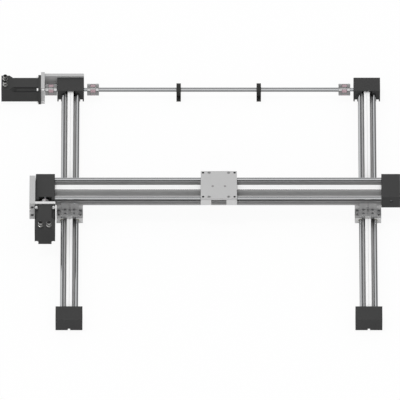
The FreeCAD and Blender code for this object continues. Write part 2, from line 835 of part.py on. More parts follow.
def x_motor_place(shape):
    """Moves a shape from the motor's frame to the X motor."""
    return shape.translated(Vector(x_motor_x, x_motor_face, x_motor_z))


def shaft_support(x):
    """A support of the connecting shaft: foot, neck and ring, with a seat for its bearing."""
    start = x - support_thickness / 2
    foot = box(start, start + support_thickness, shaft_y - support_foot_length / 2,
               shaft_y + support_foot_length / 2, 0, support_foot_height)
    neck = box(start, start + support_thickness, shaft_y - support_neck_half, shaft_y + support_neck_half, 0,
               pulley_height)
    ring = rod(support_ring_radius, Vector(start, shaft_y, pulley_height), X_DIR, support_thickness)
    body = foot.fuse([neck, ring]).removeSplitter()
    seat = Vector(start, shaft_y, pulley_height)
    cuts = [rod(support_bearing_radius + seat_fit, seat, X_DIR, support_thickness)]
    for side in (-1, 1):
        hole = Vector(x, shaft_y + side * support_hole_offset, 0)
        cuts.append(rod(support_hole_radius, hole, Z_DIR, support_foot_height))
    return body.cut(cuts)


def support_bearing(x):
    """The bearing in a shaft support."""
    start = Vector(x - support_bearing_width / 2, shaft_y, pulley_height)
    return ball_bearing(support_bearing_radius, link_radius + running_fit, start, X_DIR, support_bearing_width)


def y_wall_screws():
    """Seat and direction of the screws that hold the wall to the drive block and to the motor plate."""
    seats = []
    deep = machine_back - LARGE_SCREW.head_height - head_clearance
    for z in (block_height / 2 - bracket_screw_offset, block_height / 2 + bracket_screw_offset):
        for side in (-1, 1):
            seats.append((Vector(left_x + side * wall_screw_offset, deep, z), Y_DIR * -1))
    return seats


def y_plate_screws():
    """Seat and direction of the screws that hold the motor plate to the wall's end."""
    x = y_motor_face + LARGE_SCREW.head_height + head_clearance
    y = wall_front + y_wall_thickness / 2
    low = LARGE_SCREW.head_radius + end_notch
    return [(Vector(x, y, z), X_DIR) for z in (low, y_wall_top - low)]


def x_bar_screws():
    """Seat and direction of the screws from the bar into the drive block and into the motor plate."""
    seats = []
    x = bar_left + LARGE_SCREW.head_height + head_clearance
    plate_middle = (x_plate_face + x_motor_face) / 2
    for side in (-1, 1):
        seats.append((Vector(x, plate_middle, x_motor_z + side * plate_screw_offset), X_DIR))
        seats.append((Vector(x, x_bar_back / 2, x_motor_z + side * bracket_screw_offset), X_DIR))
    return seats


def x_end_screws():
    """Seat and direction of the two screws in the front end of the bar."""
    y = x_motor_face + LARGE_SCREW.head_height + head_clearance
    middle = (bar_left + bar_right) / 2
    return [(Vector(middle, y, x_motor_z + side * bracket_screw_offset), Y_DIR) for side in (-1, 1)]


def cutters(seats, length):
    """The cutters of screws whose heads are sunk flush."""
    return [screw_hole(LARGE_SCREW, seat, direction, length, LARGE_SCREW.head_height + head_clearance)
            for seat, direction in seats]


def screws_at(seats, length):
    """Screws at a list of seats."""
    return [screw(LARGE_SCREW, seat, direction, length) for seat, direction in seats]


def motor_plate_bore(shape, face, direction, length):
    """Cuts the pilot's bore of a motor through its plate."""
    return shape.cut(rod(pilot_radius + running_fit, face, direction, length))


def save(name, shapes):
    """Writes the pieces of one node, moved to the machine's origin."""
    placed = [shape.translated(ORIGIN * -1) for shape in shapes]
    whole = placed[0] if len(placed) == 1 else Part.makeCompound(placed)
    for solid in whole.Solids:
        if not solid.isValid() or solid.Volume <= 0:
            print("check", name, solid.isValid(), round(solid.Volume, 3))
    whole.exportStep("parts/" + name + ".step")


def make_y_axes(y_motor):
    """The two Y axes, which stay still: profiles, rails, blocks, belts and what lies in the blocks."""
    block = drive_block(Y_AXIS)
    wall_cuts = cutters(y_wall_screws(), bracket_screw_length)
    save("left_profile", [on_left(profile(Y_AXIS))])
    save("right_profile", [on_right(profile(Y_AXIS))])
    save("y_rails", [placed for rail in rails(Y_AXIS) for placed in on_both(rail)])
    save("left_drive_block", [on_left(block).cut(wall_cuts)])
    save("right_drive_block", [on_right(block)])
    save("left_idler_block", [on_left(idler_block(Y_AXIS))])
    save("right_idler_block", [on_right(idler_block(Y_AXIS))])
    save("y_belts", on_both(belt(Y_AXIS)))
    save("y_idler_axles", on_both(idler_axle(Y_AXIS)))
    bearings = [placed for bearing in drive_bearings(Y_AXIS, 0) for placed in on_both(bearing)]
    bearings += [placed for bearing in idler_bearings(Y_AXIS) for placed in on_both(bearing)]
    bearings += [support_bearing(-support_offset), support_bearing(support_offset)]
    bearings.append(y_motor_place(y_motor.bearing()))
    save("y_bearings", bearings)
    save("shaft_supports", [shaft_support(-support_offset), shaft_support(support_offset)])


def make_y_motor(y_motor):
    """The Y motor with its plate and the wall that carries it."""
    wall = box(y_plate_face, left_x + Y_AXIS.block_half, wall_front, machine_back, 0, y_wall_top)
    plate = box(y_motor_face, y_plate_face, shaft_y - y_motor_plate_front, machine_back,
                pulley_height - y_motor_plate_half, pulley_height + y_motor_plate_half)
    wall_cuts = cutters(y_wall_screws(), bracket_screw_length)
    plate_cuts = cutters(y_plate_screws(), bracket_screw_length)
    flange_cuts = [y_motor_place(hole) for hole in y_motor.screw_holes(y_motor_plate_thickness)]
    face = Vector(y_motor_face, shaft_y, pulley_height)
    plate = motor_plate_bore(plate, face, X_DIR, y_motor_plate_thickness)
    save("y_motor_wall", [wall.cut(wall_cuts + plate_cuts)])
    save("y_motor_plate", [plate.cut(plate_cuts + flange_cuts)])
    save("y_motor_flange", [y_motor_place(y_motor.flange(y_motor_plate_thickness))])
    save("y_motor_body", [y_motor_place(y_motor.stator())])
    save("y_motor_rear", [y_motor_place(y_motor.rear())])
    save("y_motor_connectors", [y_motor_place(plug) for plug in y_motor.connectors()])
    screws = [y_motor_place(item) for item in y_motor.screws(y_motor_plate_thickness)]
    screws += screws_at(y_wall_screws(), bracket_screw_length)
    screws += screws_at(y_plate_screws(), bracket_screw_length)
    save("y_motor_screws", screws)


def make_y_drive():
    """Everything that turns with the Y motor: shafts, pulleys and the three couplings."""
    block_right = left_x + Y_AXIS.block_half
    motor_coupling = y_plate_face + y_coupling_inset
    link_left = block_right + link_coupling_gap
    link_right = right_x - Y_AXIS.block_half - link_coupling_gap - coupling_length
    motor_end = motor_coupling + hub_grip
    motor_start = y_motor_face - y_flange_thickness - motor_shaft_socket
    save("y_motor_shaft", [rod(motor_shaft_radius, Vector(motor_start, shaft_y, pulley_height), X_DIR,
                               motor_end - motor_start)])
    start = motor_coupling + coupling_length - hub_grip
    end = link_left + hub_grip
    left_shaft = rod(shaft_radius, Vector(start, shaft_y, pulley_height), X_DIR, end - start)
    start_right = link_right + coupling_length - hub_grip
    end_right = right_x + Y_AXIS.block_half - shaft_end_inset
    right_shaft = rod(shaft_radius, Vector(start_right, shaft_y, pulley_height), X_DIR, end_right - start_right)
    save("y_drive_shafts", [left_shaft, right_shaft])
    start = link_left + coupling_length - hub_grip
    save("connecting_shaft", [rod(link_radius, Vector(start, shaft_y, pulley_height), X_DIR,
                                  link_right + hub_grip - start)])
    save("y_drive_pulleys", on_both(toothed_pulley(shaft_radius + seat_fit, shaft_y)))
    ends = ((motor_coupling, motor_shaft_radius, shaft_radius), (link_left, shaft_radius, link_radius),
            (link_right, link_radius, shaft_radius))
    hubs = [along_x(hub, x, shaft_y, pulley_height)
            for x, near, far in ends for hub in coupling_hubs(near, far)]
    save("y_coupling_hubs", hubs)
    spiders = [along_x(coupling_spider(), x, shaft_y, pulley_height) for x, near, far in ends]
    save("y_coupling_spiders", spiders)


def make_bridge(x_motor):
    """The bridge: both Y carriages, the cross axis on them, and the X motor."""
    carriage = Carriage(Y_AXIS, True)
    seat = ProfileSeat()
    save("left_carriage_plate", [on_left(carriage.plate())])
    save("right_carriage_plate", [on_right(carriage.plate())])
    save("y_bearing_housings", [placed for item in carriage.housings() for placed in on_both(item)])
    save("y_liners", [placed for item in carriage.liners() for placed in on_both(item)])
    save("y_belt_clamps", [placed for item in carriage.clamps() for placed in on_both(item)])
    save("adapter_plates", on_both(seat.adapter()))
    save("profile_tabs", [placed for item in seat.tabs() for placed in on_both(item)])
    screws = carriage.screws() + seat.screws()
    save("y_carriage_screws", [placed for item in screws for placed in on_both(item)])
    slots = [placed for hole in seat.holes() for placed in on_both(hole)]
    save("cross_profile", [on_cross(profile(CROSS_AXIS)).cut(slots)])
    save("cross_rails", [on_cross(rail) for rail in rails(CROSS_AXIS)])
    bar_cuts = cutters(x_bar_screws(), bracket_screw_length)
    save("cross_drive_block", [on_cross(cross_drive_block()).cut(bar_cuts)])
    save("cross_idler_block", [on_cross(idler_block(CROSS_AXIS))])
    save("cross_belt", [on_cross(belt(CROSS_AXIS))])
    save("cross_idler_axle", [on_cross(idler_axle(CROSS_AXIS))])
    bearings = [on_cross(item) for item in drive_bearings(CROSS_AXIS, coupling_pocket_depth)]
    bearings += [on_cross(item) for item in idler_bearings(CROSS_AXIS)]
    bearings.append(x_motor_place(x_motor.bearing()))
    save("cross_bearings", bearings)
    bar = box(bar_left, bar_right, x_motor_face, x_bar_back, x_motor_z - x_bar_half_height,
              x_motor_z + x_bar_half_height)
    save("x_bracket_bar", [bar.cut(bar_cuts + cutters(x_end_screws(), end_screw_length))])
    plate = box(bar_right, x_motor_x + x_flange_half, x_motor_face, x_plate_face, x_motor_z - x_bar_half_height,
                x_motor_z + x_bar_half_height)
    plate = motor_plate_bore(plate, Vector(x_motor_x, x_motor_face, x_motor_z), Y_DIR, x_motor_plate_thickness)
    flange_cuts = [x_motor_place(hole) for hole in x_motor.screw_holes(x_motor_plate_thickness)]
    save("x_motor_plate", [plate.cut(bar_cuts + flange_cuts)])
    save("x_motor_flange", [x_motor_place(x_motor.flange(x_motor_plate_thickness))])
    save("x_motor_body", [x_motor_place(x_motor.stator())])
    save("x_motor_rear", [x_motor_place(x_motor.rear())])
    save("x_motor_connectors", [x_motor_place(plug) for plug in x_motor.connectors()])
    screws = [x_motor_place(item) for item in x_motor.screws(x_motor_plate_thickness)]
    screws += screws_at(x_bar_screws(), bracket_screw_length) + screws_at(x_end_screws(), end_screw_length)
    save("x_motor_screws", screws)


def make_x_drive():
    """Everything that turns with the X motor, and the idlers of all axes."""
    coupling_y = x_plate_face + x_coupling_inset
    coupling_start = Vector(x_motor_x, coupling_y, x_motor_z)
    motor_start = x_motor_face - x_flange_thickness - motor_shaft_socket
    save("x_motor_shaft", [rod(motor_shaft_radius, Vector(x_motor_x, motor_start, x_motor_z), Y_DIR,
                               coupling_y + hub_grip - motor_start)])
    start = coupling_y + coupling_length - hub_grip
    end = CROSS_AXIS.block_half - shaft_end_inset
    save("x_drive_shaft", [rod(shaft_radius, Vector(x_motor_x, start, x_motor_z), Y_DIR, end - start)])
    save("x_drive_pulley", [on_cross(toothed_pulley(shaft_radius + seat_fit, CROSS_AXIS.pulley_y))])
    hubs = coupling_hubs(motor_shaft_radius, shaft_radius)
    save("x_coupling_hubs", [hub.translated(coupling_start) for hub in hubs])
    save("x_coupling_spider", [coupling_spider().translated(coupling_start)])
    save("left_idler_pulley", [on_left(idler_pulley(Y_AXIS))])
    save("right_idler_pulley", [on_right(idler_pulley(Y_AXIS))])
    save("cross_idler_pulley", [on_cross(idler_pulley(CROSS_AXIS))])


def make_x_carriage():
    """The carriage of the cross axis, to which a tool is bolted."""
    carriage = Carriage(CROSS_AXIS, False)
    save("x_carriage_plate", [on_cross(carriage.plate())])
    save("x_bearing_housings", [on_cross(item) for item in carriage.housings()])
    save("x_liners", [on_cross(item) for item in carriage.liners()])
    save("x_belt_clamps", [on_cross(item) for item in carriage.clamps()])
    save("x_carriage_screws", [on_cross(item) for item in carriage.screws()])


os.makedirs("parts", exist_ok=True)
y_motor_piece = Motor(y_flange_half, y_flange_thickness, y_stator_length, y_rear_length, y_connector_inset)
x_motor_piece = Motor(x_flange_half, x_flange_thickness, x_stator_length, x_rear_length, x_connector_inset)
make_y_axes(y_motor_piece)
make_y_motor(y_motor_piece)
make_y_drive()
make_bridge(x_motor_piece)
make_x_drive()
make_x_carriage()
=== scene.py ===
"""Dresses the belt gantry: a finish for each piece, and the small parts that its solids leave plain."""

import json
import logging
import math
from collections.abc import Callable
from dataclasses import dataclass, field
from enum import Enum

import bmesh
import bpy
from mathutils import Matrix, Vector

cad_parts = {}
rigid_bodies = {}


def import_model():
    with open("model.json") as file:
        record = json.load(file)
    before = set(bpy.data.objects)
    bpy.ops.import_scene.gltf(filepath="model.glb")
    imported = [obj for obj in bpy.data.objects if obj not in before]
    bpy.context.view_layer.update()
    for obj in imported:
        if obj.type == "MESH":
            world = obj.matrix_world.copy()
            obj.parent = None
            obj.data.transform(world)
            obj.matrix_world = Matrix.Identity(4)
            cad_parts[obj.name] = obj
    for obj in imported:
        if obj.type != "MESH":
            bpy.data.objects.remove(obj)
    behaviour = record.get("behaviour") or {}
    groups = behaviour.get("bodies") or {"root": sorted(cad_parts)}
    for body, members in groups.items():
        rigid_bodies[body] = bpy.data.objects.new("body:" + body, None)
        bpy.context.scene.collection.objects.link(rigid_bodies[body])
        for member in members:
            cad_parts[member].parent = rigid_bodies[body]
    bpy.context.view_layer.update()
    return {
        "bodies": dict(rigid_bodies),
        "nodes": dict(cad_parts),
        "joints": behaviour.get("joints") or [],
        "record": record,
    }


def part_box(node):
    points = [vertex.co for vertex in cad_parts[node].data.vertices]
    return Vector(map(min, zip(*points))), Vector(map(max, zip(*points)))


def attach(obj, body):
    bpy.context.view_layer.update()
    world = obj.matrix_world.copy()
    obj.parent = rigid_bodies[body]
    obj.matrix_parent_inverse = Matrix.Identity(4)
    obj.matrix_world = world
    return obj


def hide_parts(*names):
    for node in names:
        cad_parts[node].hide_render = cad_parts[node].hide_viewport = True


LOG = logging.getLogger("gantry")
MM = 0.001
FULL_TURN = 360.0
# Points of a loaded solid that lie closer than this, in millimetres, are one point
SAME_POINT = 0.002
# A corner of a turned outline with a smaller radius than this, in millimetres, is on the axis
ON_AXIS = 1e-6
# Points on the axis of a turned shape that lie closer than this, in millimetres, are one point
SAME_ON_AXIS = 0.0005
# Edges of a turned shape that are shorter than this, in millimetres, are taken out
SHORTEST_EDGE = 0.0002
# Decimals of a metre that decide the order of a node's solids
ORDER_PLACES = 5
Colour = tuple[float, float, float, float]
Outline = list[tuple[float, float]]
Choice = Callable[[Vector, float], int]


def srgb(code: str) -> Colour:
    """Turns an sRGB hex colour to linear values.

    Args:
        code: Six hex digits.

    Returns:
        Linear red, green, blue and an alpha of 1.
    """
    values = [int(code[start:start + 2], 16) / 255 for start in (0, 2, 4)]
    linear = [value / 12.92 if value <= 0.04045 else ((value + 0.055) / 1.055) ** 2.4 for value in values]
    return (linear[0], linear[1], linear[2], 1.0)


def add_node(tree: bpy.types.NodeTree, kind: str, settings: dict | None = None,
             inputs: dict | None = None) -> bpy.types.Node:
    """Adds a node to a tree, with its settings and its inputs.

    Args:
        tree: The shader or geometry tree.
        kind: The node's type, such as ShaderNodeTexNoise.
        settings: Properties of the node by name.
        inputs: Constants or output sockets by input name or number.

    Returns:
        The new node.
    """
    node = tree.nodes.new(kind)
    for name, value in (settings or {}).items():
        setattr(node, name, value)
    for key, value in (inputs or {}).items():
        socket = node.inputs[key]
        if isinstance(value, bpy.types.NodeSocket):
            tree.links.new(value, socket)
        else:
            socket.default_value = value
    return node


def empty_tree(holder: bpy.types.Material | bpy.types.World) -> bpy.types.NodeTree:
    """Turns on the nodes of a material or world, and takes its default ones out.

    Args:
        holder: The material or world.

    Returns:
        Its empty node tree.
    """
    holder.use_nodes = True
    holder.node_tree.nodes.clear()
    return holder.node_tree


def add_object(name: str, data: bpy.types.ID) -> bpy.types.Object:
    """Adds an object to the scene, at the origin.

    Args:
        name: The object's name.
        data: Its mesh, lamp or camera.

    Returns:
        The new object.
    """
    made = bpy.data.objects.new(name, data)
    bpy.context.collection.objects.link(made)
    return made


def axis_vector(axis: int, length: float = 1.0) -> Vector:
    """A vector along one axis.

    Args:
        axis: The axis, 0, 1 or 2.
        length: The vector's length, which may be negative.

    Returns:
        The vector.
    """
    vector = Vector((0.0, 0.0, 0.0))
    vector[axis] = length
    return vector


def turned(radius: float, angle: float, height: float) -> Vector:
    """A point in metres, from a radius and a height in millimetres and an angle in radians."""
    return Vector((radius * math.cos(angle) * MM, radius * math.sin(angle) * MM, height * MM))


class Surface(Enum):
    """How a surface was made, as the size of one grain in millimetres along X, Y and Z.

    The blasted, brushed, turned and moulded grains are coarser than real ones, so that they show.
    """

    DRAWN_ALONG_X = (60.0, 0.35, 0.35)
    DRAWN_ALONG_Y = (0.35, 60.0, 0.35)
    BLASTED = (0.6, 0.6, 0.6)
    BRUSHED = (14.0, 0.5, 0.5)
    TURNED = (0.5, 4.0, 4.0)
    COATED = (1.1, 1.1, 1.1)
    MOULDED = (0.8, 0.8, 0.8)


@dataclass(frozen=True)
class Finish:
    """Two tones that grain and slow clouds mix, a gloss that varies with the grain, and fine relief."""

    name: str
    colour: str
    shade: str
    surface: Surface
    roughness: float
    metallic: float = 0.0
    contrast: float = 0.5
    relief_mm: float = 0.01
    relief_strength: float = 0.5
    sheen: float = 0.0
    specular: float = 0.5
    grain_detail: float = 4.0
    grain_roughness: float = 0.55
    grain_share: float = 0.7
    cloud_mm: float = 90.0
    cloud_detail: float = 2.0
    cloud_roughness: float = 0.5
    tone_from: tuple[float, float] = (0.55, 1.15)
    gloss_from: tuple[float, float] = (0.3, 0.7)
    gloss_swing: tuple[float, float] = (-0.06, 0.08)
    least_roughness: float = 0.04
    edge_mm: float = 0.35
    edge_samples: int = 4

    def noise(self, tree: bpy.types.NodeTree, size_mm: tuple[float, ...], detail: float,
              roughness: float) -> bpy.types.NodeSocket:
        """Noise in object coordinates.

        Args:
            tree: The material's node tree.
            size_mm: The size of one grain along X, Y and Z.
            detail: How many finer layers the noise has.
            roughness: How strong those layers are.

        Returns:
            The noise's value.
        """
        place = add_node(tree, "ShaderNodeTexCoord")
        mapping = add_node(tree, "ShaderNodeMapping", None,
                           {"Vector": place.outputs["Object"],
                            "Scale": Vector([1 / (size * MM) for size in size_mm])})
        made = add_node(tree, "ShaderNodeTexNoise", None,
                        {"Vector": mapping.outputs["Vector"], "Scale": 1.0, "Detail": detail,
                         "Roughness": roughness})
        return made.outputs["Fac"]

    def build(self) -> bpy.types.Material:
        """Builds the material.

        Returns:
            The new material.
        """
        material = bpy.data.materials.new(self.name)
        tree = empty_tree(material)
        grain = self.noise(tree, self.surface.value, self.grain_detail, self.grain_roughness)
        cloud = self.noise(tree, (self.cloud_mm,) * 3, self.cloud_detail, self.cloud_roughness)
        both = add_node(tree, "ShaderNodeMath", {"operation": "MULTIPLY_ADD"},
                        {0: grain, 1: self.grain_share, 2: cloud})
        spread = add_node(tree, "ShaderNodeMapRange", None,
                          {"Value": both.outputs[0], "From Min": self.tone_from[0],
                           "From Max": self.tone_from[1], "To Min": 0.0, "To Max": self.contrast})
        tone = add_node(tree, "ShaderNodeMix", {"data_type": "RGBA"},
                        {0: spread.outputs["Result"], 6: srgb(self.colour), 7: srgb(self.shade)})
        gloss = add_node(tree, "ShaderNodeMapRange", None,
                         {"Value": grain, "From Min": self.gloss_from[0], "From Max": self.gloss_from[1],
                          "To Min": max(self.least_roughness, self.roughness + self.gloss_swing[0]),
                          "To Max": self.roughness + self.gloss_swing[1]})
        relief = add_node(tree, "ShaderNodeBump", None,
                          {"Strength": self.relief_strength, "Distance": self.relief_mm * MM,
                           "Height": grain})
        rounded = add_node(tree, "ShaderNodeBevel", {"samples": self.edge_samples},
                           {"Radius": self.edge_mm * MM, "Normal": relief.outputs["Normal"]})
        shader = add_node(tree, "ShaderNodeBsdfPrincipled", None,
                          {"Base Color": tone.outputs[2], "Roughness": gloss.outputs["Result"],
                           "Metallic": self.metallic, "Sheen Weight": self.sheen,
                           "Specular IOR Level": self.specular, "Normal": rounded.outputs["Normal"]})
        add_node(tree, "ShaderNodeOutputMaterial", None, {"Surface": shader.outputs["BSDF"]})
        return material


# Clear anodised extrusion: long die lines, and a soft metal gloss between them
PROFILE_Y = Finish("anodised_extrusion_y", "A4A4A4", "989898", Surface.DRAWN_ALONG_Y, 0.36, 0.5)
PROFILE_X = Finish("anodised_extrusion_x", "A4A4A4", "989898", Surface.DRAWN_ALONG_X, 0.36, 0.5)
# Rolled plate, blasted and clear anodised: even pale grey with hardly any sparkle
PLATE = Finish("blasted_anodised_plate", "BEBEBE", "B6B6B6", Surface.BLASTED, 0.5, 0.3, 0.45)
# Milled faces of the X motor's plate, brighter than the blasted ones
EDGED = Finish("milled_motor_plate", "DCDCDC", "D0D0D0", Surface.BRUSHED, 0.42, 0.35, 0.45)
# Milled plate of the Y carriages: a smoother face, which mirrors the dark side of the bridge over it
CARRIAGE = Finish("milled_carriage_plate", "B6B6B6", "A6A6A6", Surface.BRUSHED, 0.26, 0.85, 0.45)
# Cast housings of the sliding liners, tumbled and anodised to a soft pale grey
HOUSING = Finish("tumbled_cast_aluminium", "D2D2D2", "C6C6C6", Surface.COATED, 0.5, 0.25)
# Centreless-ground hardened steel: mirror-like, with hardly a trace of the grinding left
RAIL_Y = Finish("ground_steel_y", "ACADAE", "A2A3A5", Surface.TURNED, 0.12, 1.0, 0.35, relief_mm=0.0)
RAIL_X = Finish("ground_steel_x", "ACADAE", "A2A3A5", Surface.BLASTED, 0.12, 1.0, 0.35, relief_mm=0.0)
# Black-dyed anodised aluminium of the end blocks: even dark grey, a dull satin gloss
BLOCK = Finish("dark_anodised_block", "373737", "313131", Surface.BLASTED, 0.55, 0.0, 0.4, specular=0.25)
# Powder coat of the motors: fine orange peel under a low gloss
MOTOR = Finish("powder_coated_motor", "363636", "2F2F2F", Surface.COATED, 0.5, relief_mm=0.03, specular=0.25)
# The blocks' dye on the shaft supports, a shade darker
SUPPORT = Finish("dark_anodised_support", "2A2A28", "222220", Surface.BLASTED, 0.5, specular=0.25)
# Turned aluminium of the coupling hubs and the pulleys: a fine grain under a strong shine
TURNED = Finish("turned_aluminium", "ACACAC", "929292", Surface.TURNED, 0.2, 0.95)
# Cast polyurethane of the couplings' spiders: dusty red with a faint bloom
SPIDER = Finish("polyurethane_spider", "AC949A", "988086", Surface.MOULDED, 0.4, sheen=0.1)
# White polyurethane belt: smooth and slightly waxy
BELT = Finish("polyurethane_belt", "F6F6F6", "EEEEEE", Surface.MOULDED, 0.45, relief_mm=0.02)
# The moulded line along the middle of a belt's back, a shade darker than the rest
SEAM = Finish("belt_mould_line", "E2E2E2", "DADADA", Surface.MOULDED, 0.5, relief_mm=0.02)
# Sliding liners of filled polymer: a dull olive grey
LINER = Finish("liner_polymer", "8C8A78", "7C7A69", Surface.MOULDED, 0.55)
# Zinc-flake coated screws of the Y carriages, which read as soft dark dots
SCREW = Finish("coated_screw_steel", "767678", "646466", Surface.BLASTED, 0.4, 0.6)
# Zinc-plated screws of the motors, coloured near white as a painted highlight, so that they stand out as
# white points
ZINC_PAINTED_HIGHLIGHT = Finish("zinc_screw_painted_highlight", "F4F4F4", "E4E4E4", Surface.BLASTED, 0.3, 0.35)
# Screws of the tool carriage and the tabs, worn to a soft grey
WORN = Finish("worn_zinc_screw", "A2A2A2", "8E8E8E", Surface.BLASTED, 0.45, 0.5)
# Phosphated screws of the bracket bar, a dull mid grey
PHOSPHATED = Finish("phosphated_screw", "6A6A6A", "5A5A5A", Surface.BLASTED, 0.5, 0.3, specular=0.3)
# Polished steel of the bearings, shafts and axles: a clear metal shine
STEEL = Finish("bright_bearing_steel", "B4B6B8", "9DA0A3", Surface.TURNED, 0.22, 1.0)
# Nickel-plated connector shells, the black nylon insert in them, and its tinned contacts
SHELL = Finish("nickel_plated_shell", "CACAC8", "B4B4B2", Surface.TURNED, 0.16, 0.95)
PLUG = Finish("moulded_insert", "101010", "0A0A0A", Surface.MOULDED, 0.5, specular=0.2)
TINNED = Finish("tinned_contact", "6E6E6C", "5E5E5C", Surface.TURNED, 0.35, 1.0, 0.4)
# Thread inserts coloured near black as painted shade in the corner holes, which reads as dark dots
PAINTED_HOLE_SHADE = Finish("steel_painted_hole_shade", "2C2C2E", "222224", Surface.TURNED, 0.4, 0.3, specular=0.3)
# Press-in plugs of the same alloy as the plate, dulled to a soft mark
DULL = Finish("dulled_plug", "969494", "8C8A8A", Surface.BLASTED, 0.55, 0.3)


def smooth(piece: bpy.types.Object, angle: float) -> None:
    """Shades a mesh smooth, with sharp edges above an angle.

    Args:
        piece: The object.
        angle: The angle in degrees.
    """
    mesh = bmesh.new()
    mesh.from_mesh(piece.data)
    for face in mesh.faces:
        face.smooth = True
    for edge in mesh.edges:
        if len(edge.link_faces) == 2:
            edge.smooth = edge.calc_face_angle(0.0) < math.radians(angle)
    mesh.to_mesh(piece.data)
    mesh.free()


@dataclass
class Paint:
    """Keeps one material for each finish, and dresses nodes and new pieces."""

    made: dict[str, bpy.types.Material] = field(default_factory=dict)

    def material(self, finish: Finish) -> bpy.types.Material:
        """The material of a finish, built when it is first asked for.

        Args:
            finish: The finish.

        Returns:
            Its material.
        """
        if finish.name not in self.made:
            self.made[finish.name] = finish.build()
        return self.made[finish.name]

    def nodes(self, frame: dict, finishes: dict[str, Finish]) -> None:
        """Gives finishes to nodes of the frame.

        Args:
            frame: The loaded frame.
            finishes: A finish for each node's name.
        """
        for name, finish in finishes.items():
            slots = frame["nodes"][name].data.materials
            slots.clear()
            slots.append(self.material(finish))

    def piece(self, piece: bpy.types.Object, finishes: tuple[Finish, ...], body: str, slot: str,
              node: str | None = None, sharp: float | None = None) -> None:
        """Finishes a piece that the scene makes, and says what it rides on.

        Args:
            piece: The new piece.
            finishes: A finish for each number that its faces carry.
            body: The body that it rides on.
            slot: The record's material slot; not used.
            node: The plain node that it stands for, if any.
            sharp: The angle in degrees above which edges stay sharp, or none for flat faces.
        """
        if sharp is not None:
            smooth(piece, sharp)
        numbers = [face.material_index for face in piece.data.polygons]
        piece.data.materials.clear()
        for finish in finishes:
            piece.data.materials.append(self.material(finish))
        piece.data.polygons.foreach_set("material_index", numbers)
        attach(piece, body)
        if node is not None:
            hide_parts(node)
        LOG.info("%s: %d faces on %s", piece.name, len(numbers), body)


@dataclass(frozen=True)
class Island:
    """One solid of a node: its box, and its corner points."""

    low: Vector
    high: Vector
    points: tuple[Vector, ...]

    @property
    def centre(self) -> Vector:
        """The middle of the box."""
        return (self.low + self.high) / 2

    @property
    def size(self) -> Vector:
        """The box's three sizes."""
        return self.high - self.low

    def reach(self, axis: int) -> list[tuple[float, float]]:
        """Measures the points from the box's middle line.

        Args:
            axis: The axis that the middle line follows.

        Returns:
            Each point's distance from that line, and its place on the axis.
        """
        centre = self.centre
        others = ((axis + 1) % 3, (axis + 2) % 3)
        return [(math.hypot(*(point[other] - centre[other] for other in others)), point[axis])
                for point in self.points]


def islands(frame: dict, name: str) -> list[Island]:
    """Splits a node of the frame into its solids.

    Args:
        frame: The loaded frame.
        name: The node's name.

    Returns:
        One island for each solid, in the order of their places.
    """
    mesh = bmesh.new()
    mesh.from_mesh(frame["nodes"][name].data)
    bmesh.ops.remove_doubles(mesh, verts=mesh.verts, dist=SAME_POINT * MM)
    seen: set[int] = set()
    found = []
    for first in mesh.verts:
        if first.index in seen:
            continue
        group, queue = [], [first]
        seen.add(first.index)
        while queue:
            vert = queue.pop()
            group.append(vert.co.copy())
            for edge in vert.link_edges:
                other = edge.other_vert(vert)
                if other.index not in seen:
                    seen.add(other.index)
                    queue.append(other)
        low = Vector([min(point[axis] for point in group) for axis in range(3)])
        high = Vector([max(point[axis] for point in group) for axis in range(3)])
        found.append(Island(low, high, tuple(group)))
    mesh.free()
    return sorted(found, key=lambda item: tuple(round(value, ORDER_PLACES) for value in item.centre))


def new_piece(name: str, mesh: bmesh.types.BMesh) -> bpy.types.Object:
    """Turns a mesh under construction into an object of the scene.

    Args:
        name: The object's name.
        mesh: The mesh, which is freed.

    Returns:
        The new object, at the origin.
    """
    bmesh.ops.recalc_face_normals(mesh, faces=mesh.faces)
    data = bpy.data.meshes.new(name)
    mesh.to_mesh(data)
    mesh.free()
    return add_object(name, data)


def station(mesh: bmesh.types.BMesh, outline: Outline, angle: float,
            place: Matrix) -> list[bmesh.types.BMVert]:
    """Adds an outline's corners to a mesh, turned round the local Z axis by an angle in radians."""
    return [mesh.verts.new(place @ turned(radius, angle, height)) for radius, height in outline]


def lathe(mesh: bmesh.types.BMesh, outline: Outline, steps: int, place: Matrix) -> None:
    """Turns a closed outline round the local Z axis and adds it to a mesh.

    Args:
        mesh: The mesh that takes the faces.
        outline: Radius and height of each corner, in millimetres.
        steps: Faces round the turn.
        place: Where the turned shape goes.
    """
    rings = [station(mesh, outline, math.tau * index / steps, place) for index in range(steps)]
    on_axis = [radius < ON_AXIS for radius, _ in outline]
    for near, far in zip(rings, rings[1:] + rings[:1]):
        for corner in range(len(outline)):
            after = (corner + 1) % len(outline)
            if not (on_axis[corner] and on_axis[after]):
                mesh.faces.new([near[corner], far[corner], far[after], near[after]])
    axis_verts = [vert for ring in rings for vert, central in zip(ring, on_axis) if central]
    if axis_verts:
        bmesh.ops.remove_doubles(mesh, verts=axis_verts, dist=SAME_ON_AXIS * MM)
        bmesh.ops.dissolve_degenerate(mesh, edges=mesh.edges, dist=SHORTEST_EDGE * MM)


def sector(mesh: bmesh.types.BMesh, outline: Outline, middle: float, sweep: float, steps: int,
           place: Matrix) -> None:
    """Turns a closed outline through part of a circle round the local Z axis, and closes both ends.

    Args:
        mesh: The mesh that takes the faces.
        outline: Radius and height of each corner, in millimetres.
        middle: Angle of the sector's middle in degrees.
        sweep: The angle that it covers.
        steps: Faces along the turn.
        place: Where the sector goes.
    """
    stations = [station(mesh, outline, math.radians(middle - sweep / 2 + sweep * index / steps), place)
                for index in range(steps + 1)]
    for near, far in zip(stations, stations[1:]):
        for corner in range(len(outline)):
            after = (corner + 1) % len(outline)
            mesh.faces.new([near[corner], far[corner], far[after], near[after]])
    mesh.faces.new(stations[0])
    mesh.faces.new(list(reversed(stations[-1])))


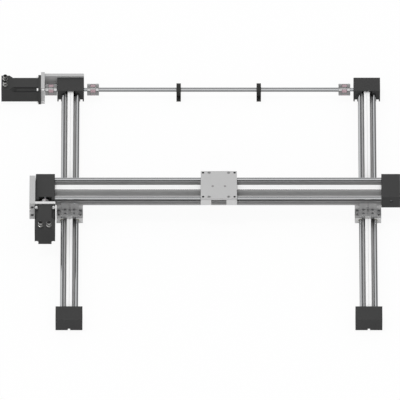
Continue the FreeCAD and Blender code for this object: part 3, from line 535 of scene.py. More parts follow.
def facing(direction: Vector, centre: Vector) -> Matrix:
    """A place at a centre, whose Z axis points along a direction."""
    return Matrix.Translation(centre) @ direction.to_track_quat("Z", "Y").to_matrix().to_4x4()


def start_tree(name: str, inputs: dict[str, str]) -> tuple[bpy.types.NodeTree, bpy.types.Node]:
    """Starts a Geometry Nodes tree that repeats a shape.

    Args:
        name: The tree's name.
        inputs: The kind of each input socket by name.

    Returns:
        The tree, and the node that holds its inputs.
    """
    tree = bpy.data.node_groups.new(name, "GeometryNodeTree")
    for label, kind in inputs.items():
        tree.interface.new_socket(label, in_out="INPUT", socket_type="NodeSocket" + kind)
    tree.interface.new_socket("Repeated", in_out="OUTPUT", socket_type="NodeSocketGeometry")
    return tree, add_node(tree, "NodeGroupInput")


def end_tree(tree: bpy.types.NodeTree, material: bpy.types.NodeSocket, placing: dict) -> None:
    """Ends such a tree with the shape on each point, as real geometry with its material.

    Args:
        tree: The tree.
        material: The socket that holds the material.
        placing: The points, the shape and perhaps a turn, by the names of the placing node's inputs.
    """
    placed = add_node(tree, "GeometryNodeInstanceOnPoints", None, placing)
    whole = add_node(tree, "GeometryNodeRealizeInstances", None, {"Geometry": placed.outputs["Instances"]})
    dressed = add_node(tree, "GeometryNodeSetMaterial", None,
                       {"Geometry": whole.outputs["Geometry"], "Material": material})
    add_node(tree, "NodeGroupOutput", None, {"Repeated": dressed.outputs["Geometry"]})


def baked(piece: bpy.types.Object, tree: bpy.types.NodeTree, values: dict, name: str) -> bpy.types.Object:
    """Runs a Geometry Nodes tree on an object and keeps the result as a plain mesh.

    Args:
        piece: The object that the tree starts from, which is removed.
        tree: The tree.
        values: The tree's inputs by name.
        name: The name of the result.

    Returns:
        A new object with the resulting mesh.
    """
    modifier = piece.modifiers.new("nodes", "NODES")
    modifier.node_group = tree
    for item in tree.interface.items_tree:
        if item.item_type == "SOCKET" and item.in_out == "INPUT" and item.name in values:
            modifier[item.identifier] = values[item.name]
    bpy.context.view_layer.update()
    evaluated = piece.evaluated_get(bpy.context.evaluated_depsgraph_get())
    data = bpy.data.meshes.new_from_object(evaluated)
    piece.modifiers.remove(modifier)
    bpy.data.objects.remove(piece)
    return add_object(name, data)


def joined(parts: list[bpy.types.Object], name: str, numbers: list[int] | None = None) -> bpy.types.Object:
    """Joins objects that lie at the origin into one.

    Args:
        parts: The objects, which are removed.
        name: The name of the whole.
        numbers: The material slot that each object's faces take, or none for the first.

    Returns:
        The joined object.
    """
    mesh = bmesh.new()
    for part, number in zip(parts, numbers or [0] * len(parts)):
        start = len(mesh.faces)
        mesh.from_mesh(part.data)
        mesh.faces.ensure_lookup_table()
        for face in mesh.faces[start:]:
            face.material_index = number
        bpy.data.objects.remove(part)
    return new_piece(name, mesh)


def first_finish(direction: Vector, length: float) -> int:
    """Gives every screw of a node the first finish."""
    return 0


def second_when_level(direction: Vector, length: float) -> int:
    """Gives the second finish to the screws whose heads face forwards or back."""
    return 1 if abs(direction.y) > 0.5 else 0


def second_when_short(direction: Vector, length: float, limit: float = 14.0) -> int:
    """Gives the second finish to level screws that are shorter than a limit in millimetres."""
    return second_when_level(direction, length) if length < limit else 0


@dataclass
class Fasteners:
    """Socket screws that stand for the plain ones of a node, set out by Geometry Nodes."""

    socket_share: float = 0.52
    socket_depth_share: float = 0.55
    socket_sides: int = 6
    cone_share: float = 0.3
    edge_share: float = 0.1
    tip_share: float = 0.7
    rim_share: float = 0.97
    read_slack: float = 0.01
    knurls: int = 20
    tree: bpy.types.NodeTree | None = None

    def scatter_tree(self) -> bpy.types.NodeTree:
        """The tree that sets one screw on each point, turned along a direction.

        Returns:
            The Geometry Nodes tree, built once.
        """
        if self.tree is None:
            self.tree, given = start_tree("screws_on_points",
                                          {"Points": "Geometry", "Screw": "Object", "Direction": "Vector",
                                           "Material": "Material"})
            source = add_node(self.tree, "GeometryNodeObjectInfo", {"transform_space": "ORIGINAL"},
                              {"Object": given.outputs["Screw"]})
            turn = add_node(self.tree, "FunctionNodeAlignRotationToVector", {"axis": "Z"},
                            {"Vector": given.outputs["Direction"]})
            end_tree(self.tree, given.outputs["Material"],
                     {"Points": given.outputs["Points"], "Instance": source.outputs["Geometry"],
                      "Rotation": turn.outputs["Rotation"]})
        return self.tree

    def screw(self, head_radius: float, head_height: float, shank_radius: float,
              length: float) -> bpy.types.Object:
        """One socket screw, its head's seat at the origin and its head towards +Z.

        Args:
            head_radius: Radius of the head in millimetres.
            head_height: Height of the head.
            shank_radius: Radius of the shank.
            length: Length of the shank.

        Returns:
            A hidden object that the tree repeats.
        """
        mesh = bmesh.new()
        edge = head_height * self.edge_share
        socket = head_radius * self.socket_share
        floor = head_height * (1 - self.socket_depth_share)
        tip = shank_radius * self.tip_share
        outline = [(0.0, floor - socket * self.cone_share), (socket, floor),
                   (socket, head_height - edge / 2), (socket + edge / 2, head_height),
                   (head_radius - edge, head_height), (head_radius, head_height - edge),
                   (head_radius, 0.0), (shank_radius, 0.0),
                   (shank_radius, shank_radius - tip - length), (tip, -length), (0.0, -length)]
        lathe(mesh, outline, self.knurls, Matrix.Identity(4))
        self.cut_socket(mesh, socket, floor)
        piece = new_piece("screw_pattern", mesh)
        piece.hide_render = True
        return piece

    def cut_socket(self, mesh: bmesh.types.BMesh, socket: float, floor: float) -> None:
        """Moves the walls of a round socket onto the hexagon inside it.

        Args:
            mesh: The screw's mesh.
            socket: Radius of the round socket in millimetres.
            floor: Height of its floor.
        """
        part = math.tau / self.socket_sides
        for vert in mesh.verts:
            flat = vert.co.xy
            if abs(flat.length / MM - socket) < SAME_POINT and vert.co.z > (floor - SAME_POINT) * MM:
                inside = (math.atan2(flat.y, flat.x) + part / 2) % part - part / 2
                flat *= math.cos(part / 2) / math.cos(inside)
                vert.co.x, vert.co.y = flat.x, flat.y

    def read(self, island: Island) -> tuple[Vector, Vector, tuple[float, ...]]:
        """Reads where a plain screw sits and how large it is.

        Args:
            island: The plain screw.

        Returns:
            Its seat, the direction that its head faces, and in millimetres its head's radius and height
            and its shank's radius and length.
        """
        size = island.size
        axis = min((abs(size[(axis + 1) % 3] - size[(axis + 2) % 3]), axis) for axis in range(3))[1]
        reach = island.reach(axis)
        head_radius = max(radius for radius, _ in reach)
        shank_radius = min(radius for radius, _ in reach if radius > self.read_slack * MM)
        head = [height for radius, height in reach if radius > head_radius * self.rim_share]
        low, high = min(head), max(head)
        upward = abs(high - island.high[axis]) < self.read_slack * MM
        seat = island.centre
        seat[axis] = low if upward else high
        measures = (head_radius, high - low, shank_radius, size[axis] - (high - low))
        sizes = tuple(round(value / MM, 2) for value in measures)
        return seat, axis_vector(axis, 1.0 if upward else -1.0), sizes

    def replace(self, frame: dict, node: str, body: str, finishes: tuple[Finish, ...], paint: Paint,
                choose: Choice = first_finish) -> None:
        """Sets detailed screws where a node has plain ones.

        Args:
            frame: The loaded frame.
            node: The node of plain screws.
            body: The body that they ride on.
            finishes: The finishes that they may have.
            paint: The keeper of materials.
            choose: Picks a finish's number from the way a head faces and the shank's length in millimetres.
        """
        groups: dict[tuple, list[Vector]] = {}
        for island in islands(frame, node):
            seat, direction, sizes = self.read(island)
            groups.setdefault((tuple(direction), sizes), []).append(seat)
        parts, numbers = [], []
        for (direction, sizes), seats in groups.items():
            number = choose(Vector(direction), sizes[-1])
            pattern = self.screw(*sizes)
            data = bpy.data.meshes.new("screw_seats")
            data.from_pydata([tuple(seat) for seat in seats], [], [])
            values = {"Screw": pattern, "Direction": direction, "Material": paint.material(finishes[number])}
            parts.append(baked(add_object("screw_seats", data), self.scatter_tree(), values, node + "_part"))
            numbers.append(number)
            bpy.data.objects.remove(pattern)
        paint.piece(joined(parts, node + "_detailed", numbers), finishes, body, "screw_steel", node)


@dataclass
class Belts:
    """The teeth on the inside of the belts' straight runs, and the mould line on their backs."""

    pitch: float = 5.0
    tooth_width: float = 2.4
    tooth_depth: float = 1.2
    thickness: float = 1.5
    end_gap: float = 34.0
    seam_width: float = 1.8
    seam_rise: float = 0.04

    def tree(self) -> bpy.types.NodeTree:
        """The tree that repeats one tooth along a line.

        Returns:
            The Geometry Nodes tree.
        """
        tree, given = start_tree("belt_teeth", {"Start": "Vector", "Step": "Vector", "Count": "Int",
                                                "Size": "Vector", "Material": "Material"})
        line = add_node(tree, "GeometryNodeMeshLine", {"mode": "OFFSET"},
                        {"Count": given.outputs["Count"], "Start Location": given.outputs["Start"],
                         "Offset": given.outputs["Step"]})
        tooth = add_node(tree, "GeometryNodeMeshCube", None, {"Size": given.outputs["Size"]})
        end_tree(tree, given.outputs["Material"],
                 {"Points": line.outputs["Mesh"], "Instance": tooth.outputs["Mesh"]})
        return tree

    def build(self, frame: dict, node: str, along: int, body: str, paint: Paint) -> None:
        """Makes the teeth and the mould line of each belt of a node.

        Args:
            frame: The loaded frame.
            node: The belts' node.
            along: The axis that the belts run along, 0 or 1.
            body: The body that they ride on.
            paint: The keeper of materials.
        """
        tree = self.tree()
        belts = islands(frame, node)
        runs = []
        for belt in belts:
            count = int((belt.size[along] / MM - 2 * self.end_gap) / self.pitch)
            size = Vector((belt.size.x, belt.size.y, self.tooth_depth * MM))
            size[along] = self.tooth_width * MM
            inner = (self.thickness + self.tooth_depth / 2) * MM
            for height in (belt.high.z - inner, belt.low.z + inner):
                start = belt.centre
                start.z = height
                start[along] -= (count - 1) * self.pitch * MM / 2
                values = {"Start": start, "Step": axis_vector(along, self.pitch * MM), "Count": count,
                          "Size": size, "Material": paint.material(BELT)}
                run = add_object("belt_run", bpy.data.meshes.new("belt_run"))
                runs.append(baked(run, tree, values, node + "_run"))
        paint.piece(joined(runs, node + "_teeth"), (BELT,), body, "belt_white")
        paint.piece(self.seam(belts, node, along), (SEAM,), body, "belt_white")

    def seam(self, belts: list[Island], node: str, along: int) -> bpy.types.Object:
        """Makes the low line along the middle of the upper runs' backs.

        Args:
            belts: The belts of the node.
            node: The belts' node.
            along: The axis that the belts run along, 0 or 1.

        Returns:
            The line on every belt of the node.
        """
        mesh = bmesh.new()
        for belt in belts:
            size = Vector((self.seam_width, self.seam_width, 2 * self.seam_rise)) * MM
            size[along] = belt.size[along] - 2 * self.end_gap * MM
            place = Matrix.Translation(Vector((belt.centre.x, belt.centre.y, belt.high.z)))
            bmesh.ops.create_cube(mesh, size=1.0, matrix=place @ Matrix.Diagonal(size).to_4x4())
        return new_piece(node + "_seam", mesh)


@dataclass
class Bearings:
    """Shielded ball bearings that stand for the plain rings of a node."""

    steps: int = 48
    ring_share: float = 0.24
    shield_inset: float = 0.6
    edge: float = 0.4
    sharp: float = 35.0

    def add(self, mesh: bmesh.types.BMesh, island: Island) -> None:
        """Adds one bearing to a mesh: outer ring, two shields and inner ring in one outline.

        Args:
            mesh: The mesh that takes the faces.
            island: The plain ring.
        """
        axis = min(range(3), key=lambda index: island.size[index])
        reach = [radius / MM for radius, _ in island.reach(axis)]
        outer, inner, edge = max(reach), min(reach), self.edge
        half = island.size[axis] / MM / 2
        wall = (outer - inner) * self.ring_share
        low = half - self.shield_inset
        side = [(inner, half - edge), (inner + edge, half), (inner + wall, half), (inner + wall, low),
                (outer - wall, low), (outer - wall, half), (outer - edge, half), (outer, half - edge)]
        outline = side + [(radius, -height) for radius, height in reversed(side)]
        lathe(mesh, outline, self.steps, facing(axis_vector(axis), island.centre))

    def replace(self, frame: dict, node: str, body: str, paint: Paint) -> None:
        """Sets detailed bearings where a node has plain rings.

        Args:
            frame: The loaded frame.
            node: The node of plain rings.
            body: The body that they ride on.
            paint: The keeper of materials.
        """
        mesh = bmesh.new()
        for island in islands(frame, node):
            self.add(mesh, island)
        paint.piece(new_piece(node + "_detailed", mesh), (STEEL,), body, "bearing_steel", node, self.sharp)


@dataclass
class Couplings:
    """Jaw couplings: slit clamping collars, long jaws, and the wide spider that fills between them."""

    jaws: int = 3
    collar_length: float = 9.2
    clearance: float = 0.3
    jaw_sweep: float = 25.0
    jaw_root: float = 8.4
    jaw_steps: int = 6
    leg_sweep: float = 33.4
    leg_root: float = 6.4
    leg_drop: float = 0.3
    leg_steps: int = 8
    ring_radius: float = 7.9
    ring_bore: float = 4.6
    edge: float = 0.5
    slit_sweep: float = 5.0
    screw_angle: float = 38.0
    screw_radius: float = 2.0
    screw_rise: float = 0.2
    screw_sink: float = 1.0
    screw_steps: int = 12
    socket_radius: float = 1.0
    socket_sink: float = 0.6
    steps: int = 44
    sharp: float = 30.0

    def hub(self, mesh: bmesh.types.BMesh, radius: float, bore: float, length: float, place: Matrix) -> None:
        """Adds one hub, its collar's outer face at the place and its jaws along the local Z axis.

        Args:
            mesh: The mesh that takes the faces.
            radius: Outer radius in millimetres.
            bore: Radius of the bore.
            length: Length of the whole coupling.
            place: Where the hub goes.
        """
        edge, collar = self.edge, self.collar_length
        ring = [(bore, 0.0), (radius - edge, 0.0), (radius, edge), (radius, collar - edge / 2),
                (radius - edge / 2, collar), (bore, collar)]
        sector(mesh, ring, FULL_TURN / 2, FULL_TURN - self.slit_sweep, self.steps, place)
        end = length - collar - self.clearance
        jaw = [(self.jaw_root, collar), (radius, collar), (radius, end - edge), (radius - edge, end),
               (self.jaw_root, end)]
        for index in range(self.jaws):
            # A quarter step puts the jaws of two hubs that face each other in turn round the spider
            sector(mesh, jaw, (index + 0.25) * FULL_TURN / self.jaws, self.jaw_sweep, self.jaw_steps, place)
        self.clamp_screw(mesh, turned(radius, math.radians(self.screw_angle), collar / 2), place)

    def clamp_screw(self, mesh: bmesh.types.BMesh, seat: Vector, place: Matrix) -> None:
        """Adds the head of a collar's clamping screw.

        Args:
            mesh: The mesh that takes the faces.
            seat: Where the head sits on the collar, in the hub's own frame.
            place: Where the hub goes.
        """
        outline = [(0.0, -self.socket_sink), (self.socket_radius, -self.socket_sink),
                   (self.socket_radius, self.screw_rise), (self.screw_radius, self.screw_rise),
                   (self.screw_radius, -self.screw_sink), (0.0, -self.screw_sink)]
        outward = (place.to_3x3() @ Vector((seat.x, seat.y, 0.0))).normalized()
        lathe(mesh, outline, self.screw_steps, facing(outward, place @ seat))

    def spider(self, mesh: bmesh.types.BMesh, radius: float, length: float, place: Matrix) -> None:
        """Adds the spider: a ring, and a leg on each side of every jaw.

        Args:
            mesh: The mesh that takes the faces.
            radius: Outer radius of the hubs in millimetres.
            length: Length of the whole coupling.
            place: Where the coupling starts.
        """
        start = self.collar_length + self.clearance
        end = length - start
        outer, inner, edge = self.ring_radius, self.ring_bore, self.edge
        lathe(mesh, [(inner, start), (outer, start), (outer, end), (inner, end)], self.steps, place)
        tip = radius - self.leg_drop
        leg = [(self.leg_root, start), (tip - edge, start), (tip, start + edge), (tip, end - edge),
               (tip - edge, end), (self.leg_root, end)]
        for index in range(2 * self.jaws):
            sector(mesh, leg, index * FULL_TURN / 2 / self.jaws, self.leg_sweep, self.leg_steps, place)

    def replace(self, frame: dict, hubs: str, spiders: str, along: int, body: str, paint: Paint) -> None:
        """Sets detailed couplings where two nodes have plain ones.

        Args:
            frame: The loaded frame.
            hubs: The node of plain hubs.
            spiders: The node of plain spiders.
            along: The axis that the shafts run along, 0 or 1.
            body: The body that they ride on.
            paint: The keeper of materials.
        """
        metal, elastic = bmesh.new(), bmesh.new()
        found = islands(frame, hubs)
        up = axis_vector(2)
        for near, far in zip(found[::2], found[1::2]):
            length = (far.high[along] - near.low[along]) / MM
            radius = near.size.z / MM / 2
            for island, end, way in ((near, near.low, 1.0), (far, far.high, -1.0)):
                bore = min(distance for distance, _ in island.reach(along)) / MM
                start, axis = island.centre, axis_vector(along, way)
                start[along] = end[along]
                turn = Matrix((up, axis.cross(up), axis)).transposed().to_4x4()
                place = Matrix.Translation(start) @ turn
                self.hub(metal, radius, bore, length, place)
                if island is near:
                    self.spider(elastic, radius, length, place)
        for mesh, node, finish, slot in ((metal, hubs, TURNED, "coupling_aluminium"),
                                         (elastic, spiders, SPIDER, "spider_red")):
            paint.piece(new_piece(node + "_detailed", mesh), (finish,), body, slot, node, self.sharp)


@dataclass
class Connectors:
    """Round motor connectors: a nut, a waist, a ribbed ring with an open mouth, an insert and pins."""

    steps: int = 40
    nut_overhang: float = 0.6
    nut_height: float = 4.0
    nut_edge: float = 0.5
    nut_chamfer: float = 0.6
    waist_drop: float = 0.7
    waist_low: float = 4.2
    waist_high: float = 6.0
    ring_low: float = 6.4
    ring_end: float = 2.6
    ring_chamfer: float = 0.3
    rib_depth: float = 0.5
    rib_low: float = 6.3
    rib_end: float = 2.3
    rib_slack: float = 0.2
    lip: float = 0.4
    wall: float = 0.9
    insert_drop: float = 1.4
    insert_height: float = 0.9
    insert_edge: float = 0.3
    side_gap: float = 0.05
    floor_gap: float = 0.1
    pins: int = 5
    pin_radius: float = 0.5
    pin_circle: float = 2.9
    pin_height: float = 0.7
    pin_sink: float = 0.2
    pin_point: float = 0.3
    pin_steps: int = 10
    sharp: float = 30.0

    def shell(self, mesh: bmesh.types.BMesh, foot: Vector, radius: float, height: float) -> None:
        """Adds the shell: nut at the foot, waist, ribbed ring and open mouth.

        Args:
            mesh: The mesh that takes the faces.
            foot: The middle of the foot.
            radius: Radius of the ribbed ring in millimetres.
            height: Height of the shell.
        """
        nut, mouth, waist = radius + self.nut_overhang, radius - self.wall, radius - self.waist_drop
        ring_high = height - self.ring_end
        floor = height - self.insert_drop - self.insert_height - self.floor_gap
        outline = [(0.0, 0.0), (nut - self.nut_edge, 0.0), (nut, self.nut_edge),
                   (nut, self.nut_height - self.nut_chamfer), (nut - self.nut_chamfer, self.nut_height),
                   (waist, self.waist_low), (waist, self.waist_high), (radius, self.ring_low),
                   (radius, ring_high), (waist, ring_high + self.ring_chamfer), (waist, height - self.lip),
                   (waist - self.lip, height), (mouth, height), (mouth, floor), (0.0, floor)]
        start = len(mesh.verts)
        lathe(mesh, outline, self.steps, Matrix.Translation(foot))
        mesh.verts.ensure_lookup_table()
        self.cut_ribs(list(mesh.verts)[start:], foot, radius, height)

    def cut_ribs(self, verts: list[bmesh.types.BMVert], foot: Vector, radius: float, height: float) -> None:
        """Sinks every other line of points of a shell's ring, which leaves ribs round it.

        Args:
            verts: The points that were added last.
            foot: The middle of the shell's foot.
            radius: Radius of the ring in millimetres.
            height: Height of the shell.
        """
        low, high = foot.z + self.rib_low * MM, foot.z + (height - self.rib_end) * MM
        for vert in verts:
            flat = (vert.co - foot).xy
            on_ring = low < vert.co.z < high and flat.length > (radius - self.rib_slack) * MM
            if on_ring and round(math.atan2(flat.y, flat.x) / math.tau * self.steps) % 2:
                flat *= 1 - self.rib_depth * MM / flat.length
                vert.co.x, vert.co.y = foot.x + flat.x, foot.y + flat.y

    def insert(self, mesh: bmesh.types.BMesh, foot: Vector, radius: float, height: float) -> None:
        """Adds the black insert inside a shell's mouth.

        Args:
            mesh: The mesh that takes the faces.
            foot: The middle of the shell's foot.
            radius: Radius of the ribbed ring in millimetres.
            height: Height of the shell.
        """
        reach, edge = radius - self.wall - self.side_gap, self.insert_edge
        top = height - self.insert_drop
        low = top - self.insert_height
        outline = [(0.0, low), (reach, low), (reach, top - edge), (reach - edge, top), (0.0, top)]
        lathe(mesh, outline, self.steps, Matrix.Translation(foot))

    def contacts(self, mesh: bmesh.types.BMesh, foot: Vector, height: float) -> None:
        """Adds the circle of pins on an insert.

        Args:
            mesh: The mesh that takes the faces.
            foot: The middle of the shell's foot.
            height: Height of the shell.
        """
        radius, rise = self.pin_radius, self.pin_height
        outline = [(0.0, -self.pin_sink), (radius, -self.pin_sink), (radius, rise - self.pin_point),
                   (radius / 2, rise), (0.0, rise)]
        for index in range(self.pins):
            base = turned(self.pin_circle, math.tau * index / self.pins, height - self.insert_drop)
            lathe(mesh, outline, self.pin_steps, Matrix.Translation(foot + base))

    def replace(self, frame: dict, node: str, body: str, paint: Paint) -> None:
        """Sets detailed connectors where a node has plain ones, with pins in their mouths.

        Args:
            frame: The loaded frame.
            node: The node of plain connectors.
            body: The body that they ride on.
            paint: The keeper of materials.
        """
        shells, inserts, pins = bmesh.new(), bmesh.new(), bmesh.new()
        for island in islands(frame, node):
            foot = island.centre
            foot.z = island.low.z
            radius = island.size.x / MM / 2 - self.nut_overhang
            height = island.size.z / MM
            self.shell(shells, foot, radius, height)
            self.insert(inserts, foot, radius, height)
            self.contacts(pins, foot, height)
        for mesh, ending, finish, slot, plain in (
                (shells, "_detailed", SHELL, "bearing_steel", node),
                (inserts, "_inserts", PLUG, "connector_black", None),
                (pins, "_pins", TINNED, "bearing_steel", None)):
            paint.piece(new_piece(node + ending, mesh), (finish,), body, slot, plain, self.sharp)


@dataclass(frozen=True)
class Panel:
    """A round light that polished metal shows: its direction, its edge's and core's angle, its gain."""

    direction: tuple[float, float, float]
    edge: float
    core: float
    gain: float


@dataclass
class Studio:
    """Pale floor, even light with a brighter side, and white for what the camera sees beyond."""

    floor_half: float = 6.0
    floor_colour: str = "F4F4F4"
    floor_mirrored: float = 0.6
    sky_strength: float = 0.8
    walls: float = 0.3
    key_energy: float = 0.5
    key_angle: float = 6.0
    key_turn: tuple[float, float, float] = (0.0, -0.24, 0.0)
    fill_energy: float = 0.75
    fill_angle: float = 40.0
    fill_turn: tuple[float, float, float] = (1.2, 0.0, 0.0)
    shadow_share: float = 0.07
    panels: tuple[Panel, ...] = (
        Panel((0.0, -0.707, 0.707), 32.0, 15.0, 1.4),
        Panel((-0.5, 0.707, 0.5), 48.0, 30.0, 1.0))

    def mirrored(self, tree: bpy.types.NodeTree) -> bpy.types.NodeSocket:
        """What polished metal shows: grey walls, a panel over the camera and one at the back left.

        Args:
            tree: The world's node tree.

        Returns:
            The strength in each direction.
        """
        place = add_node(tree, "ShaderNodeTexCoord")
        total = add_node(tree, "ShaderNodeValue")
        total.outputs[0].default_value = self.walls
        strength = total.outputs[0]
        for panel in self.panels:
            edge, core = [math.cos(math.radians(angle)) for angle in (panel.edge, panel.core)]
            towards = add_node(tree, "ShaderNodeVectorMath", {"operation": "DOT_PRODUCT"},
                               {0: place.outputs["Generated"], 1: Vector(panel.direction).normalized()})
            lit = add_node(tree, "ShaderNodeMapRange", {"interpolation_type": "SMOOTHSTEP"},
                           {"Value": towards.outputs["Value"], "From Min": edge, "From Max": core,
                            "To Max": panel.gain})
            strength = add_node(tree, "ShaderNodeMath", {"operation": "ADD"},
                                {0: strength, 1: lit.outputs["Result"]}).outputs[0]
        return strength

    def sky(self) -> None:
        """Builds the world: even light, panels for what metal shows, white for the camera."""
        world = bpy.data.worlds.new("studio_sky")
        bpy.context.scene.world = world
        tree = empty_tree(world)
        even, shown, plain = [
            add_node(tree, "ShaderNodeBackground", None, {"Color": srgb("FFFFFF"), "Strength": strength})
            for strength in (self.sky_strength, self.mirrored(tree), 1.0)]
        path = add_node(tree, "ShaderNodeLightPath")
        lit = add_node(tree, "ShaderNodeMixShader", None,
                       {0: path.outputs["Is Glossy Ray"], 1: even.outputs[0], 2: shown.outputs[0]})
        mix = add_node(tree, "ShaderNodeMixShader", None,
                       {0: path.outputs["Is Camera Ray"], 1: lit.outputs[0], 2: plain.outputs[0]})
        add_node(tree, "ShaderNodeOutputWorld", None, {"Surface": mix.outputs[0]})

    def lamp(self, name: str, energy: float, angle: float,
             turn: tuple[float, float, float]) -> bpy.types.Object:
        """Adds a distant lamp.

        Args:
            name: The lamp's name.
            energy: Its strength in watts per square metre.
            angle: How wide it looks, in degrees.
            turn: Its rotation in radians.

        Returns:
            The lamp.
        """
        data = bpy.data.lights.new(name, "SUN")
        data.energy = energy
        data.angle = math.radians(angle)
        lamp = add_object(name, data)
        lamp.rotation_euler = turn
        return lamp

    def lamps(self) -> None:
        """Adds the key light, nearly overhead, and a fill from the front that no metal mirrors."""
        self.lamp("key", self.key_energy, self.key_angle, self.key_turn)
        fill = self.lamp("fill", self.fill_energy, self.fill_angle, self.fill_turn)
        fill.visible_glossy = False

    def floor(self) -> None:
        """Builds the floor, white to the camera but for a soft part of the object's shadow."""
        mesh = bmesh.new()
        half = self.floor_half
        mesh.faces.new([mesh.verts.new((x, y, 0.0))
                        for x, y in ((-half, -half), (half, -half), (half, half), (-half, half))])
        floor = new_piece("floor", mesh)
        material = bpy.data.materials.new("pale_floor")
        tree = empty_tree(material)
        matt = add_node(tree, "ShaderNodeBsdfDiffuse", None, {"Color": srgb(self.floor_colour)})
        white, grey = [
            add_node(tree, "ShaderNodeEmission", None, {"Color": srgb("FFFFFF"), "Strength": strength})
            for strength in (1.0, self.floor_mirrored)]
        path = add_node(tree, "ShaderNodeLightPath")
        share = add_node(tree, "ShaderNodeMath", {"operation": "MULTIPLY"},
                         {0: path.outputs["Is Camera Ray"], 1: 1 - self.shadow_share})
        mix = add_node(tree, "ShaderNodeMixShader", None,
                       {0: share.outputs[0], 1: matt.outputs[0], 2: white.outputs[0]})
        whole = add_node(tree, "ShaderNodeMixShader", None,
                         {0: path.outputs["Is Glossy Ray"], 1: mix.outputs[0], 2: grey.outputs[0]})
        add_node(tree, "ShaderNodeOutputMaterial", None, {"Surface": whole.outputs[0]})
        floor.data.materials.append(material)

    def build(self) -> None:
        """Builds the whole studio."""
        bpy.context.scene.view_settings.view_transform = "Standard"
        self.sky()
        self.lamps()
        self.floor()
        LOG.info("studio ready")


@dataclass
class PhotoCamera:
    """A very long lens at the photograph's angle, which draws the gantry almost without perspective.

    A longer one would put the other views past the far limit that they give it.
    """

    lens: float = 1600.0
    sensor: float = 36.0
    elevation: float = 45.0
    view_width: float = 1.1065
    aim: tuple[float, float, float] = (-0.0005, 0.0, 0.035)
    clip_start: float = 1.0
    clip_end: float = 200.0

    def build(self) -> None:
        """Creates the camera and makes it the scene's."""
        data = bpy.data.cameras.new("camera")
        data.lens = self.lens
        data.sensor_width = self.sensor
        data.clip_start = self.clip_start
        data.clip_end = self.clip_end
        distance = self.view_width * self.lens / self.sensor
        tilt = math.radians(self.elevation)
        camera = add_object("camera", data)
        camera.location = Vector(self.aim) + Vector((0.0, -math.cos(tilt), math.sin(tilt))) * distance
        camera.rotation_euler = (math.pi / 2 - tilt, 0.0, 0.0)
        bpy.context.scene.camera = camera
        LOG.info("camera at %.1f m", distance)


@dataclass
class YAxes:
    """The two fixed axes, their end blocks and what shows in them."""

    plain: dict[str, Finish] = field(default_factory=lambda: {
        "left_profile": PROFILE_Y, "right_profile": PROFILE_Y, "y_rails": RAIL_Y, "left_drive_block": BLOCK,
        "right_drive_block": BLOCK, "left_idler_block": BLOCK, "right_idler_block": BLOCK, "y_belts": BELT,
        "y_idler_axles": STEEL, "shaft_supports": SUPPORT, "left_idler_pulley": TURNED,
        "right_idler_pulley": TURNED})

    def build(self, frame: dict, paint: Paint) -> None:
        """Dresses the axes and adds belt teeth and bearings.

        Args:
            frame: The loaded frame.
            paint: The keeper of materials.
        """
        paint.nodes(frame, self.plain)
        Belts().build(frame, "y_belts", 1, "base", paint)
        Bearings().replace(frame, "y_bearings", "base", paint)
        LOG.info("Y axes dressed")


@dataclass
class YDrive:
    """The Y motor, the wall that carries it, and the shaft line that it turns."""

    plain: dict[str, Finish] = field(default_factory=lambda: {
        "y_motor_wall": PLATE, "y_motor_plate": PLATE, "y_motor_flange": MOTOR, "y_motor_body": MOTOR,
        "y_motor_rear": MOTOR, "y_motor_shaft": STEEL, "y_drive_shafts": STEEL, "connecting_shaft": RAIL_X,
        "y_drive_pulleys": TURNED, "y_coupling_hubs": TURNED, "y_coupling_spiders": SPIDER})

    def build(self, frame: dict, fasteners: Fasteners, paint: Paint) -> None:
        """Dresses the drive and adds its screws, connectors and couplings.

        Args:
            frame: The loaded frame.
            fasteners: The maker of screws.
            paint: The keeper of materials.
        """
        paint.nodes(frame, self.plain)
        # The motor screws' near-white colour is partly a painted highlight
        fasteners.replace(frame, "y_motor_screws", "base", (ZINC_PAINTED_HIGHLIGHT,), paint)
        Connectors().replace(frame, "y_motor_connectors", "base", paint)
        Couplings().replace(frame, "y_coupling_hubs", "y_coupling_spiders", 0, "y_drive", paint)
        LOG.info("Y drive dressed")


@dataclass
class Bridge:
    """The Y carriages, the cross axis on them, and the X motor."""

    plain: dict[str, Finish] = field(default_factory=lambda: {
        "left_carriage_plate": CARRIAGE, "right_carriage_plate": CARRIAGE, "y_bearing_housings": HOUSING,
        "y_liners": LINER, "y_belt_clamps": PLATE, "adapter_plates": PLATE, "profile_tabs": PROFILE_X,
        "cross_profile": PROFILE_X, "cross_rails": RAIL_X, "cross_drive_block": BLOCK,
        "cross_idler_block": BLOCK, "cross_belt": BELT, "cross_idler_axle": STEEL, "x_bracket_bar": PLATE,
        "x_motor_plate": EDGED, "x_motor_flange": MOTOR, "x_motor_body": MOTOR, "x_motor_rear": MOTOR,
        "x_motor_shaft": STEEL, "x_drive_shaft": STEEL, "x_drive_pulley": TURNED, "x_coupling_hubs": TURNED,
        "x_coupling_spider": SPIDER, "cross_idler_pulley": TURNED})

    def build(self, frame: dict, fasteners: Fasteners, paint: Paint) -> None:
        """Dresses the bridge and adds its screws, bearings, belt teeth, connectors and coupling.

        Args:
            frame: The loaded frame.
            fasteners: The maker of screws.
            paint: The keeper of materials.
        """
        paint.nodes(frame, self.plain)
        fasteners.replace(frame, "y_carriage_screws", "bridge", (SCREW, WORN), paint, second_when_level)
        # The motor screws' near-white colour is partly a painted highlight
        fasteners.replace(frame, "x_motor_screws", "bridge", (ZINC_PAINTED_HIGHLIGHT, PHOSPHATED), paint, second_when_short)
        Belts().build(frame, "cross_belt", 0, "bridge", paint)
        Bearings().replace(frame, "cross_bearings", "bridge", paint)
        Connectors().replace(frame, "x_motor_connectors", "bridge", paint)
        Couplings().replace(frame, "x_coupling_hubs", "x_coupling_spider", 1, "x_drive", paint)
        LOG.info("bridge dressed")


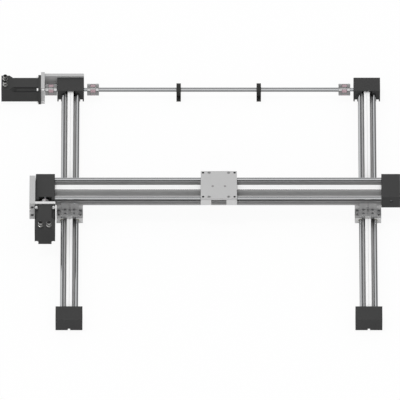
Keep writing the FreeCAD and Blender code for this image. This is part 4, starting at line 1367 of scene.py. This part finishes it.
@dataclass
class ToolCarriage:
    """The carriage that takes the tool."""

    plain: dict[str, Finish] = field(default_factory=lambda: {
        "x_carriage_plate": PLATE, "x_bearing_housings": HOUSING, "x_liners": LINER, "x_belt_clamps": PLATE})
    steps: int = 28
    sharp: float = 30.0
    rise: float = 0.1
    corner_inset: float = 6.5
    insert_outer: float = 2.97
    insert_inner: float = 2.2
    insert_lip: float = 0.35
    insert_lip_gap: float = 0.01
    insert_depth: float = 5.0
    insert_floor: float = 1.0
    plug_radius: float = 3.5
    plug_depth: float = 3.0
    plug_reach: float = 17.0
    plug_y: float = -5.5

    def build(self, frame: dict, fasteners: Fasteners, paint: Paint) -> None:
        """Dresses the carriage and adds its screws, near-black thread inserts that paint the shade of the
        corner holes, and plugs.

        Args:
            frame: The loaded frame.
            fasteners: The maker of screws.
            paint: The keeper of materials.
        """
        paint.nodes(frame, self.plain)
        fasteners.replace(frame, "x_carriage_screws", "x_carriage", (WORN,), paint)
        self.corner_inserts(paint)
        self.plugs(paint)
        LOG.info("tool carriage dressed")

    def on_plate(self, name: str, outline: Outline, spots: list[tuple[float, float]]) -> bpy.types.Object:
        """Turns an outline at some spots of the plate's top.

        Args:
            name: The new piece's name.
            outline: Radius and height of each corner, in millimetres above the top.
            spots: Where the turned shapes go, in millimetres from the plate's middle.

        Returns:
            The new piece.
        """
        low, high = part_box("x_carriage_plate")
        middle = ((low[0] + high[0]) / 2, (low[1] + high[1]) / 2)
        mesh = bmesh.new()
        for x, y in spots:
            spot = Vector((middle[0] + x * MM, middle[1] + y * MM, high[2]))
            lathe(mesh, outline, self.steps, Matrix.Translation(spot))
        return new_piece(name, mesh)

    def corner_inserts(self, paint: Paint) -> None:
        """Adds near-black thread inserts to the four corner holes that take a tool, as painted shade in the
        holes.

        Args:
            paint: The keeper of materials.
        """
        low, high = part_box("x_carriage_plate")
        reach_x, reach_y = [(high[axis] - low[axis]) / MM / 2 - self.corner_inset for axis in (0, 1)]
        outer, inner, rise, gap = self.insert_outer, self.insert_inner, self.rise, self.insert_lip_gap
        lip = outer + self.insert_lip
        foot = -self.insert_depth
        floor = foot + self.insert_floor
        outline = [(0.0, foot), (outer, foot), (outer, gap), (lip, gap), (lip, rise / 2), (lip - rise, rise),
                   (inner, rise), (inner, floor), (0.0, floor)]
        spots = [(x, y) for x in (-reach_x, reach_x) for y in (-reach_y, reach_y)]
        piece = self.on_plate("corner_thread_inserts", outline, spots)
        # The inserts' near-black colour is painted shade in the corner holes
        paint.piece(piece, (PAINTED_HOLE_SHADE,), "x_carriage", "screw_steel", None, self.sharp)

    def plugs(self, paint: Paint) -> None:
        """Adds two press-in plugs near the middle of the plate.

        Args:
            paint: The keeper of materials.
        """
        radius, depth, rise = self.plug_radius, self.plug_depth, self.rise
        outline = [(0.0, -depth), (radius, -depth), (radius, rise / 2), (radius - rise, rise), (0.0, rise)]
        spots = [(side * self.plug_reach, self.plug_y) for side in (-1, 1)]
        piece = self.on_plate("carriage_plate_plugs", outline, spots)
        paint.piece(piece, (DULL,), "x_carriage", "plate_aluminium", None, self.sharp)


def main() -> None:
    """Builds the studio and dresses each sub-assembly in order."""
    logging.basicConfig(level=logging.INFO, format="%(name)s: %(message)s")
    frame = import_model()
    PhotoCamera().build()
    Studio().build()
    paint = Paint()
    fasteners = Fasteners()
    YAxes().build(frame, paint)
    YDrive().build(frame, fasteners, paint)
    Bridge().build(frame, fasteners, paint)
    ToolCarriage().build(frame, fasteners, paint)


if __name__ == "__main__":
    main()
